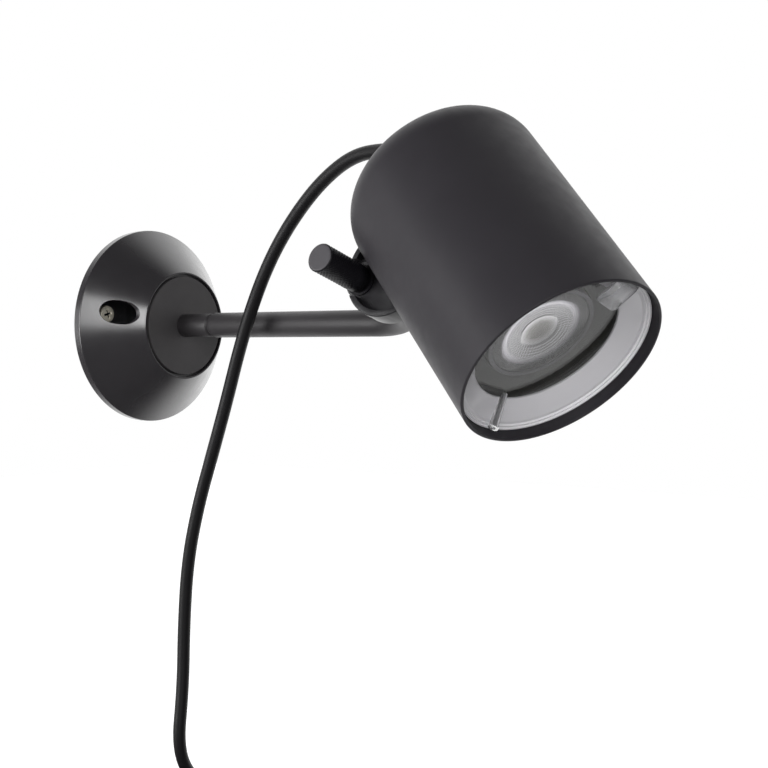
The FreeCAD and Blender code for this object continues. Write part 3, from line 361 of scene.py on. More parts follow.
def tint(tree, value, first, second):
    """Blend two colours by a 0 to 1 value."""
    blend = add_node(tree, "ShaderNodeMix", data_type="RGBA")
    blend.inputs["A"].default_value = first
    blend.inputs["B"].default_value = second
    tree.links.new(value, blend.inputs["Factor"])
    return blend.outputs["Result"]


def add_bump(tree, shader, height, strength, distance):
    """Let a height tilt the surface's shading, as if it were that many metres deep."""
    bump = add_node(tree, "ShaderNodeBump", {"Strength": strength, "Distance": distance})
    tree.links.new(height, bump.inputs["Height"])
    tree.links.new(bump.outputs["Normal"], shader.inputs["Normal"])


def coated(name, light, dark, rough_low, rough_high, grain=1500.0, depth=0.00003, **sockets):
    """Painted or moulded surface: two near colours, uneven gloss and a fine grain."""
    material, tree, shader = new_finish(name, light, rough_low, **sockets)
    broad = object_noise(tree, 28.0)
    tree.links.new(tint(tree, spread(tree, broad, 0.0, 1.0), dark, light), shader.inputs["Base Color"])
    tree.links.new(spread(tree, object_noise(tree, 140.0), rough_low, rough_high), shader.inputs["Roughness"])
    add_bump(tree, shader, object_noise(tree, grain, 2.0), 0.35, depth)
    return material


# %% [markdown]
# ## Paint, plastic and rubber
# The shade is powder coated and almost matt, the base cone is sprayed and satin, and the disc in its mouth is
# matt. Each finish is two near colours, a range of roughness and a grain. A dark coat reflects little, so its
# specular level is set as well as its colour: it decides how bright the coat grows at grazing angles.

# %% Painted and moulded finishes
shade_paint = coated("shade_powder_coat", colour("323034"), colour("2f2d31"), 0.46, 0.54, Specular_IOR_Level=0.19)
shade_inner = coated("shade_inside_coat", colour("74746e"), colour("6b6b65"), 0.40, 0.48)
base_paint = coated("base_satin_coat", colour("302e31"), colour("2d2b2e"), 0.22, 0.27, 1500.0, 0.00001,
                    Specular_IOR_Level=0.8)
disc_paint = coated("disc_matt_coat", colour("444243"), colour("403e40"), 0.58, 0.66)
arm_paint = coated("arm_satin_coat", colour("343234"), colour("312f31"), 0.46, 0.52, Specular_IOR_Level=0.38)
housing_plastic = coated("housing_moulding", colour("1f1e21"), colour("1c1b1e"), 0.36, 0.44)
knob_black = coated("knob_black", colour("18171b"), colour("151418"), 0.46, 0.54, 2200.0, 0.00002,
                    Specular_IOR_Level=0.25)
knob_face = coated("knob_end_face", colour("474549"), colour("434145"), 0.55, 0.62)
nylon = coated("nylon_washer", colour("d8d6cf"), colour("cfccc4"), 0.42, 0.5)
black_rubber = coated("black_rubber", colour("1c1b1c"), colour("181718"), 0.62, 0.72)
ceramic = coated("white_steatite", colour("e6e2d8"), colour("dcd8cc"), 0.35, 0.45)
pale_plastic = coated("terminal_plastic", colour("e0ddd2"), colour("d6d2c6"), 0.4, 0.5)
wire_plastic = coated("wire_insulation", colour("6a4630"), colour("5d3c28"), 0.4, 0.5)
plug_plastic = coated("plug_moulding", colour("1d1c1e"), colour("19181a"), 0.45, 0.55, 900.0)
olive_plastic = coated("baffle_satin", colour("3a3a34"), colour("34342f"), 0.34, 0.42, 400.0, 0.00001)


# %% [markdown]
# ## Bare metal
# The wall plate is zinc plated sheet, the screws are passivated and the lamp's body is grey cast metal. A metal
# has no colour of its own below its reflections. What tells them apart is how rough they are, and whether the
# roughness runs one way.

# %% Bare metal
def metal(name, base, rough_low, rough_high, streak=1.0, metallic=1.0):
    """Bare metal: uneven gloss, with the noise stretched along one way where it was brushed."""
    material, tree, shader = new_finish(name, base, rough_low, metallic)
    place = add_node(tree, "ShaderNodeTexCoord")
    stretch = add_node(tree, "ShaderNodeMapping", {"Scale": (1.0, 1.0, streak)})
    noise = add_node(tree, "ShaderNodeTexNoise", {"Scale": 900.0, "Detail": 3.0})
    tree.links.new(place.outputs["Object"], stretch.inputs["Vector"])
    tree.links.new(stretch.outputs["Vector"], noise.inputs["Vector"])
    tree.links.new(spread(tree, noise.outputs["Fac"], rough_low, rough_high), shader.inputs["Roughness"])
    add_bump(tree, shader, noise.outputs["Fac"], 0.15, 0.00001)
    return material


plate_metal = metal("zinc_plate", colour("b8b9bd"), 0.30, 0.42, 0.1)
screw_metal = metal("passivated_screw", colour("f0ead9"), 0.36, 0.46, metallic=0.3)
lamp_metal = metal("lamp_grey_metal", colour("6c6a6e"), 0.28, 0.36)
# Blackened steel for the grub screw, and also painted shade in the wall screws' cross recess.
black_steel_and_recess_shade = metal("blackened_steel_and_recess_shade", colour("3a393b"), 0.34, 0.44)


# %% [markdown]
# ## Clear plastic
# The cover is a clear moulding whose sloping wall is lightly hazed. Glass with true refraction casts a dark
# shadow unless the renderer follows each bent ray to a lamp, which is slow and noisy. So shadow rays alone
# meet a thin tint. The haze is a share of plain colour mixed into the glass, and its gloss changes in fine
# rings, as left by the mould's turning.

# %% Clear plastic
def let_light_through(tree, shader, share):
    """For lamp light alone the plastic is a thin tint that lets a share of it through, without bending it."""
    through = add_node(tree, "ShaderNodeBsdfTransparent", {"Color": (share, share, share, 1)})
    path = add_node(tree, "ShaderNodeLightPath")
    mix = add_node(tree, "ShaderNodeMixShader")
    tree.links.new(path.outputs["Is Shadow Ray"], mix.inputs[0])
    tree.links.new(shader.outputs[0], mix.inputs[1])
    tree.links.new(through.outputs[0], mix.inputs[2])
    tree.links.new(mix.outputs[0], tree.nodes["Material Output"].inputs["Surface"])


def clear_moulding(name, base, roughness):
    """Clear plastic: glass for sight and reflections, which lets most lamp light through."""
    material, tree, shader = new_finish(name, base, roughness, Transmission_Weight=1.0, IOR=1.46)
    add_bump(tree, shader, object_noise(tree, 60.0, 1.0), 0.04, 0.0001)
    let_light_through(tree, shader, 0.86)
    return material


clear_plastic = clear_moulding("clear_cover_plastic", (0.93, 0.94, 0.94, 1), 0.04)


def hazed_moulding(name, base, clearness):
    """Lightly hazed clear plastic: its gloss changes in fine rings, along the UV map's first way."""
    material, tree, shader = new_finish(name, base, 0.22, Transmission_Weight=clearness, IOR=1.46)
    place = add_node(tree, "ShaderNodeUVMap")
    stretch = add_node(tree, "ShaderNodeMapping", {"Scale": (1.6, 240.0, 1.0)})
    streaks = add_node(tree, "ShaderNodeTexNoise", {"Scale": 1.0, "Detail": 3.0, "Roughness": 0.6})
    tree.links.new(place.outputs["UV"], stretch.inputs["Vector"])
    tree.links.new(stretch.outputs["Vector"], streaks.inputs["Vector"])
    tree.links.new(spread(tree, streaks.outputs["Fac"], 0.18, 0.26), shader.inputs["Roughness"])
    let_light_through(tree, shader, 0.6)
    return material


hazed_plastic = hazed_moulding("hazed_cover_slope", (0.86, 0.85, 0.88, 1), 0.42)
tab_plastic = hazed_moulding("clear_tab_and_peg", (0.9, 0.9, 0.92, 1), 0.9)
# Near white and only a little clear: a painted highlight on the upright edges of the cover rim's steps.
painted_rim_highlight = hazed_moulding("bright_rim_edges", (0.98, 0.97, 0.99, 1), 0.12)


# %% [markdown]
# ## The lamp's glass
# One looks through the lamp's glass front onto a silvered reflector. A mirror behind glass needs no glass in
# the model: a bright metal with a clear coat looks the same. A colour ramp over the distance from the middle
# sets the dull source, the bright field and the grey rim.

# %% Lamp glass and the table of finishes
def lens_finish():
    """Glass lens over a silvered reflector: its brightness follows the distance from the middle.

    The UV map's second number is that distance over the lens radius. The middle is dull, where one looks
    down onto the light source, the lens field is bright, and the rim is plain grey glass."""
    material, tree, shader = new_finish("lens_over_reflector", colour("b9bcc0"), 0.12, 0.9, Coat_Weight=0.5)
    place = add_node(tree, "ShaderNodeUVMap")
    parts = add_node(tree, "ShaderNodeSeparateXYZ")
    ramp = add_node(tree, "ShaderNodeValToRGB")
    tree.links.new(place.outputs["UV"], parts.inputs[0])
    tree.links.new(parts.outputs["Y"], ramp.inputs["Fac"])
    stops = [(0.0, "8f8b89"), (0.2, "a5a19e"), (0.36, "f2eff1"), (0.62, "f6f3f6"), (0.74, "dedae0"),
             (0.80, "9a959c"), (0.84, "4b484a"), (1.0, "3c3a3b")]
    band = ramp.color_ramp
    while len(band.elements) < len(stops):
        band.elements.new(0.5)
    for element, (position, code) in zip(band.elements, stops):
        element.position = position
        element.color = colour(code)
    tree.links.new(ramp.outputs["Color"], shader.inputs["Base Color"])
    tree.links.new(spread(tree, object_noise(tree, 300.0), 0.05, 0.11), shader.inputs["Roughness"])
    return material


lens_silver = lens_finish()

FINISH_OF_SLOT = {
    "plate_steel": plate_metal, "housing_paint": base_paint, "disc_paint": disc_paint,
    "screw_steel": screw_metal, "arm_paint": arm_paint, "nylon": nylon, "lead": black_rubber,
    "tie": black_rubber, "plug": plug_plastic, "pin_metal": screw_metal,
    "housing_plastic": housing_plastic, "shade_paint": shade_paint, "ceramic": ceramic,
    "lamp_metal": lamp_metal, "lamp_lens": lens_silver, "baffle": olive_plastic, "gasket": black_rubber,
    "terminal": pale_plastic, "wires": wire_plastic, "knob": knob_black, "clear": clear_plastic,
}
for node_name, node_object in nodes.items():
    node_object.data.materials.clear()
    node_object.data.materials.append(FINISH_OF_SLOT[slot_of_node[node_name]])
nodes["grub_screw"].data.materials[0] = black_steel_and_recess_shade
print("finishes on the frame:", len({slot_of_node[name] for name in nodes}))

# %% [markdown]
# ## The base cone
# The base is a turned cone with a straight rim, a grooved mouth for the front disc, and two openings through
# which the wall screws are reached. The cone is smooth and satin, so every flaw in its shading shows. A dense
# turned surface keeps the shading even, an oblong post cuts each opening with a boolean, and a bevel breaks
# the openings' edges, which catch a thin line of light.

# %% Cone with its openings
CONE_HEIGHT = 30.5
RIM_RADIUS = 55.0
RIM_HEIGHT = 4.5
MOUTH_RADIUS = 30.2
ACCESS_REACH = 40.3
ACCESS_WIDTH = 13.3
ACCESS_LENGTH = 15.4
POST_SIDES = 96
POST_LEVELS = (5.5, 40.0)
CONE_SEGMENTS = 288
CONE_STEP = 1.4
SCREW_ANGLES = np.radians([170.0, -10.0])


def dense(profile, step):
    """Put extra points on long runs of a profile, so that no run is longer than step."""
    length = np.linalg.norm(np.diff(profile, axis=0), axis=1)
    share = [np.linspace(0, 1, max(1, int(np.ceil(run / step))), endpoint=False)[:, None] for run in length]
    parts = [start + part * (end - start) for start, end, part in zip(profile[:-1], profile[1:], share)]
    return np.vstack([*parts, profile[-1:]])


cone_line = dense(rounded_profile([
    (52.0, 0.0, 0), (RIM_RADIUS, 0.0, 0.3), (RIM_RADIUS, RIM_HEIGHT, 0.7), (MOUTH_RADIUS, CONE_HEIGHT, 0.35),
    (29.4, CONE_HEIGHT, 0.15), (29.4, 28.3, 0), (27.9, 28.3, 0), (27.9, 27.3, 0), (23.9, 27.3, 0),
    (23.9, 25.3, 0), (32.3, 25.3, 0), (52.0, 4.5, 0), (52.0, 0.0, 0)]), CONE_STEP)
cone_points = lathe_points(cone_line, CONE_SEGMENTS)
cone = make_piece("base_cone", placed(cone_points, WALL), grid_faces(len(cone_line), CONE_SEGMENTS),
                  "wall_mount", [base_paint], ["wall_cone"])


def oblong_post(angle):
    """An upright post whose outline is a slot: a circle stretched by half the extra length each way."""
    turn = np.linspace(0, 2 * np.pi, POST_SIDES, endpoint=False)
    stretch = (ACCESS_LENGTH - ACCESS_WIDTH) / 2
    along = ACCESS_REACH + ACCESS_WIDTH / 2 * np.cos(turn) + stretch * np.tanh(4 * np.cos(turn))
    across = ACCESS_WIDTH / 2 * np.sin(turn)
    ring = np.stack([along * np.cos(angle) - across * np.sin(angle),
                     along * np.sin(angle) + across * np.cos(angle)], -1)
    low, high = POST_LEVELS
    levels = [(0.0, low), (1.0, low), (1.0, high), (0.0, high)]
    centre = ACCESS_REACH * np.array([np.cos(angle), np.sin(angle)])
    rows = [np.hstack([centre + size * (ring - centre), np.full((POST_SIDES, 1), level)]) for size, level in levels]
    return placed(np.stack(rows), WALL)


for angle in SCREW_ANGLES:
    post_mesh = bpy.data.meshes.new("access_post")
    post_mesh.from_pydata(oblong_post(angle).tolist(), [], grid_faces(4, POST_SIDES).tolist())
    finish_mesh(post_mesh)
    post = bpy.data.objects.new("access_post", post_mesh)
    bpy.context.scene.collection.objects.link(post)
    opening = cone.modifiers.new("access", "BOOLEAN")
    opening.object = post
    opening.solver = "EXACT"
    bpy.context.view_layer.update()
    cut_mesh = bpy.data.meshes.new_from_object(cone.evaluated_get(bpy.context.evaluated_depsgraph_get()))
    cone.modifiers.remove(opening)
    cone.data = cut_mesh
    bpy.data.objects.remove(post)
    bpy.data.meshes.remove(post_mesh)
finish_mesh(cone.data, 24.0)
cone_edge = cone.modifiers.new("opening_edge", "BEVEL")
cone_edge.width = 0.35 * MM
cone_edge.segments = 2
cone_edge.limit_method = "ANGLE"
cone_edge.angle_limit = np.radians(40)
cone_edge.harden_normals = True
print("cone faces after its openings:", len(cone.data.polygons))

# %% [markdown]
# ## Pressed and moulded parts with soft edges
# The front disc sits in the cone's mouth, and the pivot housing is a moulding. Their shapes in the frame are
# right, but a real edge is never quite sharp: paint flows over it and it catches a thin line of light. A
# bevel that only works on sharp edges adds that line.

# %% Disc, neck, housing and plug with soft edges
lathe("front_disc_turned", [
    (4.3, 27.3, 0), (27.8, 27.3, 0.2), (27.8, 30.5, 0.45), (4.3, 30.5, 0.2), (4.3, 27.3, 0)],
    WALL, "wall_mount", [disc_paint], ["front_disc"], segments=192)
softened("arm_neck", "arm_neck_soft", "wall_mount", arm_paint, 0.30)
softened("arm_tube", "arm_tube_soft", "arm", arm_paint, 0.25)
softened("pivot_housing", "pivot_housing_soft", "head", housing_plastic, 0.40)
softened("cable_gland", "cable_gland_soft", "head", housing_plastic, 0.30)
plug_piece = softened("plug_body", "plug_body_soft", "wall_mount", plug_plastic, 0.50)

# %% [markdown]
# ## The shade
# The shade is one spun or drawn metal cup: a straight wall, a well rounded closed end with a hole for the
# cable gland, and a rolled lip. A turned profile describes it fully. The small rounds on the lip matter,
# because the photograph shows a thin light line there.

# %% Shade
DOME_ROUND = 19.4
GLAND_HOLE = 6.1
shade_inside = SHADE_RADIUS - SHADE_WALL
coat_ends = SHADE_FRONT - 9.5       # the outer coat reaches this far into the mouth
lathe("shade_shell", [
    (GLAND_HOLE, SHADE_BACK, 0), (SHADE_RADIUS, SHADE_BACK, DOME_ROUND), (SHADE_RADIUS, SHADE_FRONT, 0.6),
    (shade_inside, SHADE_FRONT, 0.5), (shade_inside, coat_ends, 0),
    (shade_inside, SHADE_BACK + SHADE_WALL, DOME_ROUND - SHADE_WALL),
    (GLAND_HOLE, SHADE_BACK + SHADE_WALL, 0), (GLAND_HOLE, SHADE_BACK, 0)],
    HEAD, "head", [shade_paint, shade_inner], ["shade"], segments=256, steps=24,
    material_from=(shade_inside, coat_ends))

# %% [markdown]
# ## The knurled knob
# A knurl is two sets of fine grooves rolled at 45 degrees across each other, which leaves small diamonds.
# Real grooves show at the knob's outline and catch light one by one, so they are made in the surface and
# not only in its shading. The knob's plain end face is given a lighter grey than its knurled sides.

# %% Knob
KNOB_BASE = 1.5
KNOB_RADIUS = 6.75
KNOB_END = 31.86
KNURL_START = 9.0
KNURL_STARTS = 22
KNURL_DEPTH = 0.2
KNURL_ROWS = 150
KNOB_SEGMENTS = 220
KNOB_FACE_ROWS = 5      # rows of the end face, which has its own finish


def knurl(angle, height, radius):
    """Depth share 0 to 1 of the knurl: two crossing helical waves, each cut only in its lower half."""
    lead = height / radius
    first = np.abs(np.sin((angle + lead) * KNURL_STARTS / 2))
    second = np.abs(np.sin((angle - lead) * KNURL_STARTS / 2))
    return 1 - np.minimum(first, second) ** 0.8


def knob_surface():
    """Radius at each height, minus the knurl's depth: a plain neck, the grip and a flat end with a bevel."""
    heights = np.concatenate([
        [KNOB_BASE, KNOB_BASE, KNOB_BASE + 0.4, KNOB_BASE + 2.6, KNOB_BASE + 3.0, KNURL_START - 0.4],
        np.linspace(KNURL_START, KNOB_END - 0.75, KNURL_ROWS),
        [KNOB_END - 0.55, KNOB_END - 0.15, KNOB_END, KNOB_END, KNOB_END, KNOB_END]])
    radii = np.concatenate([
        [3.1, 5.9, 6.25, 6.25, KNOB_RADIUS - 0.1, KNOB_RADIUS], np.full(KNURL_ROWS, KNOB_RADIUS),
        [KNOB_RADIUS - 0.1, KNOB_RADIUS - 0.5, KNOB_RADIUS - 0.75, 5.2, 2.0, 0.0]])
    angle = np.linspace(0, 2 * np.pi, KNOB_SEGMENTS, endpoint=False)[None]
    ease = np.clip((heights - KNURL_START) / 0.8, 0, 1) * np.clip((KNOB_END - 0.6 - heights) / 0.8, 0, 1)
    depth = KNURL_DEPTH * ease[:, None] * knurl(angle, heights[:, None], KNOB_RADIUS)
    radius = radii[:, None] - depth
    height = np.broadcast_to(heights[:, None], radius.shape)
    return np.stack([radius * np.cos(angle), radius * np.sin(angle), height], -1)


knob_points = knob_surface()
knob_rows = len(knob_points)
knob_faces = grid_faces(knob_rows, KNOB_SEGMENTS)
face_row = np.repeat(np.arange(knob_rows - 1) >= knob_rows - KNOB_FACE_ROWS, KNOB_SEGMENTS)
make_piece("knob_knurled", placed(knob_points, PIVOT), knob_faces, "knob", [knob_black, knob_face],
           ["knurled_knob"], material_rows=face_row, sharp_angle=60.0)

# %% [markdown]
# ## The lamp's front
# Behind the clear cover sits a spot lamp whose glass front is pressed in rings of small lenses over a
# silvered reflector. What one sees is sparkle from many small curved faces. They are made as a low relief:
# rings of cells, each one a shallow dome, with a plain ring round the edge.

# %% Lamp lens
LAMP_FACE = SHADE_FRONT - 19.0
LENS_FACE = LAMP_FACE - 0.6
LENS_BACK = LAMP_FACE - 2.5
LENS_RADIUS = 22.6
LENS_ROWS = 150
LENS_SEGMENTS = 360
DISH_EDGE = 18.2
DISH_DEPTH = 1.35
HOLLOW_DEPTH = 0.35
FACET_EDGE = 15.6
FACET_START = 8.4
FACET_SIZE = 1.5
FACET_RISE = 0.17


def facet_relief(radius, angle):
    """Height of one cell: rise * (1 - s^2 / 2 - t^2 / 2), s across the ring and t along it, both -1 to 1."""
    ring = np.floor(radius / FACET_SIZE)
    across = (radius / FACET_SIZE - ring) * 2 - 1
    count = np.maximum(1, np.round(2 * np.pi * (ring + 0.5)))
    turn = angle / (2 * np.pi) * count + 0.5 * (ring % 2)
    along = (turn - np.floor(turn)) * 2 - 1
    inside = np.clip((radius - FACET_START) / 0.8, 0, 1) * np.clip((FACET_EDGE - radius) / 0.4, 0, 1)
    return FACET_RISE * (1 - 0.5 * across ** 2 - 0.5 * along ** 2) * inside


def lens_height(radius, angle):
    """A hollow middle, -depth * (1 - (r / start)^2), in a dish that rises evenly to its edge.

    The small lenses lie on the dish, and a plain ring stands a little higher round it."""
    hollow = -HOLLOW_DEPTH * np.clip(1 - (radius / FACET_START) ** 2, 0, 1)
    dish = DISH_DEPTH * (np.clip((radius - FACET_START) / (DISH_EDGE - FACET_START), 0, 1) - 1)
    step = np.clip((radius - DISH_EDGE) / 0.5, 0, 1)
    return LENS_FACE + (hollow + dish * (radius < DISH_EDGE)) + facet_relief(radius, angle) + 0.2 * step


def lens_surface():
    """The lens front on a polar grid, closed at the rim by its side and at the back by a flat face."""
    radius = np.linspace(LENS_RADIUS - 0.3, 0.0, LENS_ROWS)[:, None]
    angle = np.linspace(0, 2 * np.pi, LENS_SEGMENTS, endpoint=False)[None]
    front = np.stack([radius * np.cos(angle), radius * np.sin(angle), lens_height(radius, angle)], -1)
    side_line = np.array([(0.0, LENS_BACK), (LENS_RADIUS, LENS_BACK), (LENS_RADIUS, LENS_FACE)])
    return np.concatenate([lathe_points(side_line, LENS_SEGMENTS), front])


lens_points = lens_surface()
lens_reach = np.linalg.norm(lens_points[..., :2], axis=-1) / LENS_RADIUS
lens_turn = np.broadcast_to(np.linspace(0, 1, lens_points.shape[1])[None], lens_reach.shape)
make_piece("lamp_lens_faceted", placed(lens_points, HEAD), grid_faces(*lens_points.shape[:2]), "head",
           [lens_silver], ["lamp_lens"], uv=np.stack([lens_turn, lens_reach], -1).reshape(-1, 2),
           sharp_angle=50.0)

# %% [markdown]
# ## The clear cover
# The cover is a clear moulded dish: a stepped rim that snaps into the shade, a sloping wall with a light haze
# and a flat window before the lamp. The dish is a turned profile. Its window is clear, its wall is hazed, and
# the upright edges of the rim's steps are painted near white, a painted highlight for the light that thin edges
# gather in the sheet.
# A UV map carries the haze's rings round: the first number goes round the dish and back, so no seam shows.

# %% Cover dish
COVER_SEGMENTS = 224
HAZE_START = 33.4
STEPS_START, STEPS_END = 41.8, 43.9

cover_line = rounded_profile([
    (0.0, 91.0, 0), (33.8, 91.0, 0.8), (41.6, 97.4, 0.3), (44.3, 97.4, 0.2), (44.3, 100.9, 0.25),
    (43.4, 100.9, 0.15), (43.4, 100.0, 0.15), (42.5, 100.0, 0.15), (42.5, 99.0, 0.15), (41.0, 99.0, 0.2),
    (33.2, 92.6, 0.8), (0.0, 92.6, 0)], 5)
middle_radius = (cover_line[:-1, 0] + cover_line[1:, 0]) / 2
upright = np.abs(np.diff(cover_line[:, 1])) > np.abs(np.diff(cover_line[:, 0]))
# Upright runs of the rim's steps, which take the painted highlight.
rim_highlight_runs = upright & (middle_radius > STEPS_START) & (middle_radius < STEPS_END)
dish_material = np.where(rim_highlight_runs, 3, middle_radius > HAZE_START)
round_and_back = np.abs(np.linspace(-1, 1, COVER_SEGMENTS, endpoint=False))[None] * 6
dish_uv = np.stack(np.broadcast_arrays(round_and_back, cover_line[:, 1:2] * 0.01), -1).reshape(-1, 2)
dish_points = lathe_points(cover_line, COVER_SEGMENTS)
print("cover profile has", len(cover_line), "points,", int(rim_highlight_runs.sum()), "runs of it are bright edges")

# %% [markdown]
# ## The cover's peg and finger tab
# A small peg and a finger tab stand on the cover for turning it out of the shade. The peg is a tapered pin
# with a hole in its end. The tab is a block with eased edges: an outline between a circle and a square, with
# smaller copies of it closing top and bottom. Both join the dish in one mesh, as they are one moulding.

# %% Cover peg and tab
PEG_SIDES = 28
PEG_START = np.array([29.8, 8.0, 92.6])
PEG_END = np.array([40.2, 2.0, 105.3])
TAB_SIDES = 96
TAB_SQUARENESS = 7.0
TAB_HALF_SIZE = np.array([(44.3 - 29.5) / 2, 14.5 / 2])
TAB_MIDDLE = np.array([-(43.1 + 28.3) / 2, -2.7])


def pin_points(start, way, radii, heights):
    """A turned pin from its profile, along a direction: centre + height * way + radius * (cos, sin)."""
    way = way / np.linalg.norm(way)
    side = np.cross(way, [0.0, 1.0, 0.0])
    side /= np.linalg.norm(side)
    other = np.cross(way, side)
    angle = np.linspace(0, 2 * np.pi, PEG_SIDES, endpoint=False)[None, :, None]
    round_way = np.cos(angle) * side + np.sin(angle) * other
    return start + np.asarray(heights)[:, None, None] * way + np.asarray(radii)[:, None, None] * round_way


def tab_points():
    """A rounded block: each level's outline is the curve |x/a|^n + |y/b|^n = 1, with eased top and bottom."""
    turn = np.linspace(0, 2 * np.pi, TAB_SIDES, endpoint=False)
    power = TAB_SQUARENESS
    size = (np.abs(np.cos(turn)) ** power + np.abs(np.sin(turn)) ** power) ** (-1 / power)
    levels = np.array([(0.0, 98.5), (0.94, 98.5), (1.0, 98.75), (1.0, 100.05), (0.94, 100.3), (0.0, 100.3)])
    outline = size[:, None] * np.stack([np.cos(turn), np.sin(turn)], -1) * TAB_HALF_SIZE
    rows = levels[:, 0, None, None] * outline[None] + TAB_MIDDLE
    return np.concatenate([rows, np.broadcast_to(levels[:, 1, None, None], (len(levels), TAB_SIDES, 1))], -1)


peg_length = np.linalg.norm(PEG_END - PEG_START)
peg = pin_points(PEG_START, PEG_END - PEG_START, [0, 1.25, 1.3, 2.1, 2.3, 2.25, 1.1, 0.9, 0.9, 0.0],
                 [0, 0, 0.2, peg_length - 0.6, peg_length - 0.25, peg_length, peg_length, peg_length - 0.2,
                  peg_length - 2.6, peg_length - 2.6])
tab = tab_points()
parts = [placed(part, HEAD) for part in (dish_points, peg, tab)]
first = np.cumsum([0] + [len(part) for part in parts])
dish_faces = grid_faces(*dish_points.shape[:2])
peg_faces = grid_faces(*peg.shape[:2])[:, ::-1]
tab_faces = grid_faces(*tab.shape[:2])
cover_faces = np.concatenate([dish_faces, peg_faces + first[1], tab_faces + first[2]])
cover_material = np.full(len(cover_faces), 2)
cover_material[:len(dish_faces)] = np.repeat(dish_material, COVER_SEGMENTS)
cover_uv = np.concatenate([dish_uv, np.zeros((first[3] - first[1], 2))])
make_piece("clear_cover_dish", np.concatenate(parts), cover_faces, "cover",
           [clear_plastic, hazed_plastic, tab_plastic, painted_rim_highlight],
           ["clear_cover"], uv=cover_uv, material_rows=cover_material)

# %% [markdown]
# ## Wall screws
# Two pan head screws hold the base to the wall, and one shows through the opening in the cone. The head is a
# low dome with a cross recess, which a depth function presses into a polar grid. The faces deep in the recess
# get a dark finish as painted shade. The shank is a real thread: its radius follows a triangle wave along a helix.

# %% Screws
SCREW_HEAD_RADIUS = 4.8
SCREW_TOP = 5.95
SCREW_REACH = 36.0
SCREW_SEGMENTS = 144
SCREW_TURN = 0.44       # how far the cross is turned from the way to the base's middle, in radians
RECESS_ARM = 2.9
RECESS_HALF_WIDTH = 0.75
RECESS_DEPTH = 1.7
THREAD_RADIUS = 2.35
THREAD_DEPTH = 0.45
THREAD_PITCH = 1.6


def cross_recess(across, along):
    """Depth 0 to 1 of a cross: full where both distances lie inside an arm, with sloping ends and sides."""
    narrow = np.minimum(np.abs(across), np.abs(along))
    wide = np.maximum(np.abs(across), np.abs(along))
    sides = np.clip((RECESS_HALF_WIDTH - narrow) / 0.22, 0, 1)
    ends = np.clip((RECESS_ARM - wide) / 1.5, 0, 1)
    return sides * ends


def screw_surface():
    """Profile from the tip up the thread and shank, over the head's edge, to the recessed middle.

    The thread's radius is full radius - depth * w, where w falls and rises once from 0 to 1 in each pitch
    and lags by one pitch in each turn."""
    segments = SCREW_SEGMENTS
    angle = np.linspace(0, 2 * np.pi, segments, endpoint=False)[None]
    thread_height = np.linspace(-11.0, -0.3, 54)[:, None]
    wave = np.abs((thread_height / THREAD_PITCH - angle / (2 * np.pi)) % 1 * 2 - 1)
    thread_radius = THREAD_RADIUS - THREAD_DEPTH * wave
    top_radius = np.concatenate([np.linspace(4.4, 3.1, 8), np.linspace(3.0, 0.0, 42)])[:, None]
    recess = cross_recess(top_radius * np.cos(angle), top_radius * np.sin(angle))
    top_height = SCREW_TOP - 0.55 * (top_radius / SCREW_HEAD_RADIUS) ** 2 - RECESS_DEPTH * recess
    radius = np.concatenate([
        np.repeat([[0.0], [0.9]], segments, 1), thread_radius,
        np.repeat([[2.1], [2.1], [SCREW_HEAD_RADIUS], [SCREW_HEAD_RADIUS], [4.65]], segments, 1),
        np.repeat(top_radius, segments, 1)])
    height = np.concatenate([
        np.repeat([[-14.0], [-14.0]], segments, 1), np.repeat(thread_height, segments, 1),
        np.repeat([[-0.1], [2.55], [2.56], [4.6], [5.2]], segments, 1), top_height])
    points = np.stack([radius * np.cos(angle), radius * np.sin(angle), height], -1)
    # Faces deep in the cross recess are marked for the dark finish: painted shade in the recess.
    recess_shade_depth = np.concatenate([np.zeros((len(radius) - len(top_radius), segments)), recess])
    return points, recess_shade_depth[:-1].ravel() > 0.45


screw_points, screw_recess_shade = screw_surface()
screw_faces = grid_faces(*screw_points.shape[:2])
screw_sets = []
for screw_angle in SCREW_ANGLES:
    turn_cos, turn_sin = np.cos(screw_angle + SCREW_TURN), np.sin(screw_angle + SCREW_TURN)
    turned = screw_points @ np.array([[turn_cos, turn_sin, 0], [-turn_sin, turn_cos, 0], [0, 0, 1.0]])
    screw_sets.append(turned.reshape(-1, 3) + SCREW_REACH * np.array([np.cos(screw_angle), np.sin(screw_angle), 0]))
# The marked recess faces take the dark steel as painted shade; the rest of each screw is pale metal.
make_piece("wall_screws_pan", placed(np.concatenate(screw_sets), WALL),
           np.concatenate([screw_faces, screw_faces + len(screw_sets[0])]), "wall_mount",
           [screw_metal, black_steel_and_recess_shade], ["wall_screws"], material_rows=np.tile(screw_recess_shade, 2), sharp_angle=40.0)

# %% [markdown]
# ## The lead
# A lead keeps its length, so its route is a short list of points that a smooth line follows: out of the
# strain relief, over and down past the arm, and straight down beside the wall. The strain relief's own centre
# line is an arc, and the lead starts where that ends, in the same direction.

# %% Route of the lead
CORD_RADIUS = 3.5
RELIEF_BEND = 36.0
RELIEF_TURN = np.radians(35.5)
RELIEF_LEAN = np.array([0.358, 0.609, -0.708])
GLAND_PLAY = 0.05
GLAND_FLANGE = 3.0
GLAND_FACE = SHADE_POINT + BEAM * (SHADE_BACK - GLAND_PLAY - GLAND_FLANGE) * MM
FIRST_RUN = 15.0

LEAD_ROUTE = np.array([
    (-25.5, -174.0, 82.2), (-21.0, -149.6, 71.6), (-18.5, -128.6, 54.6),
    (-17.2, -111.6, 34.6), (-17.0, -98.6, 11.0), (-17.5, -88.6, -14.6), (-18.5, -80.6, -41.2),
    (-20.0, -71.5, -69.4), (-20.6, -61.0, -98.4), (-20.8, -52.8, -130.2), (-20.3, -49.3, -165.0),
    (-20.6, -48.7, -200.0),
])
UPPER_COUNT = 6     # route points that belong to the upper stretch


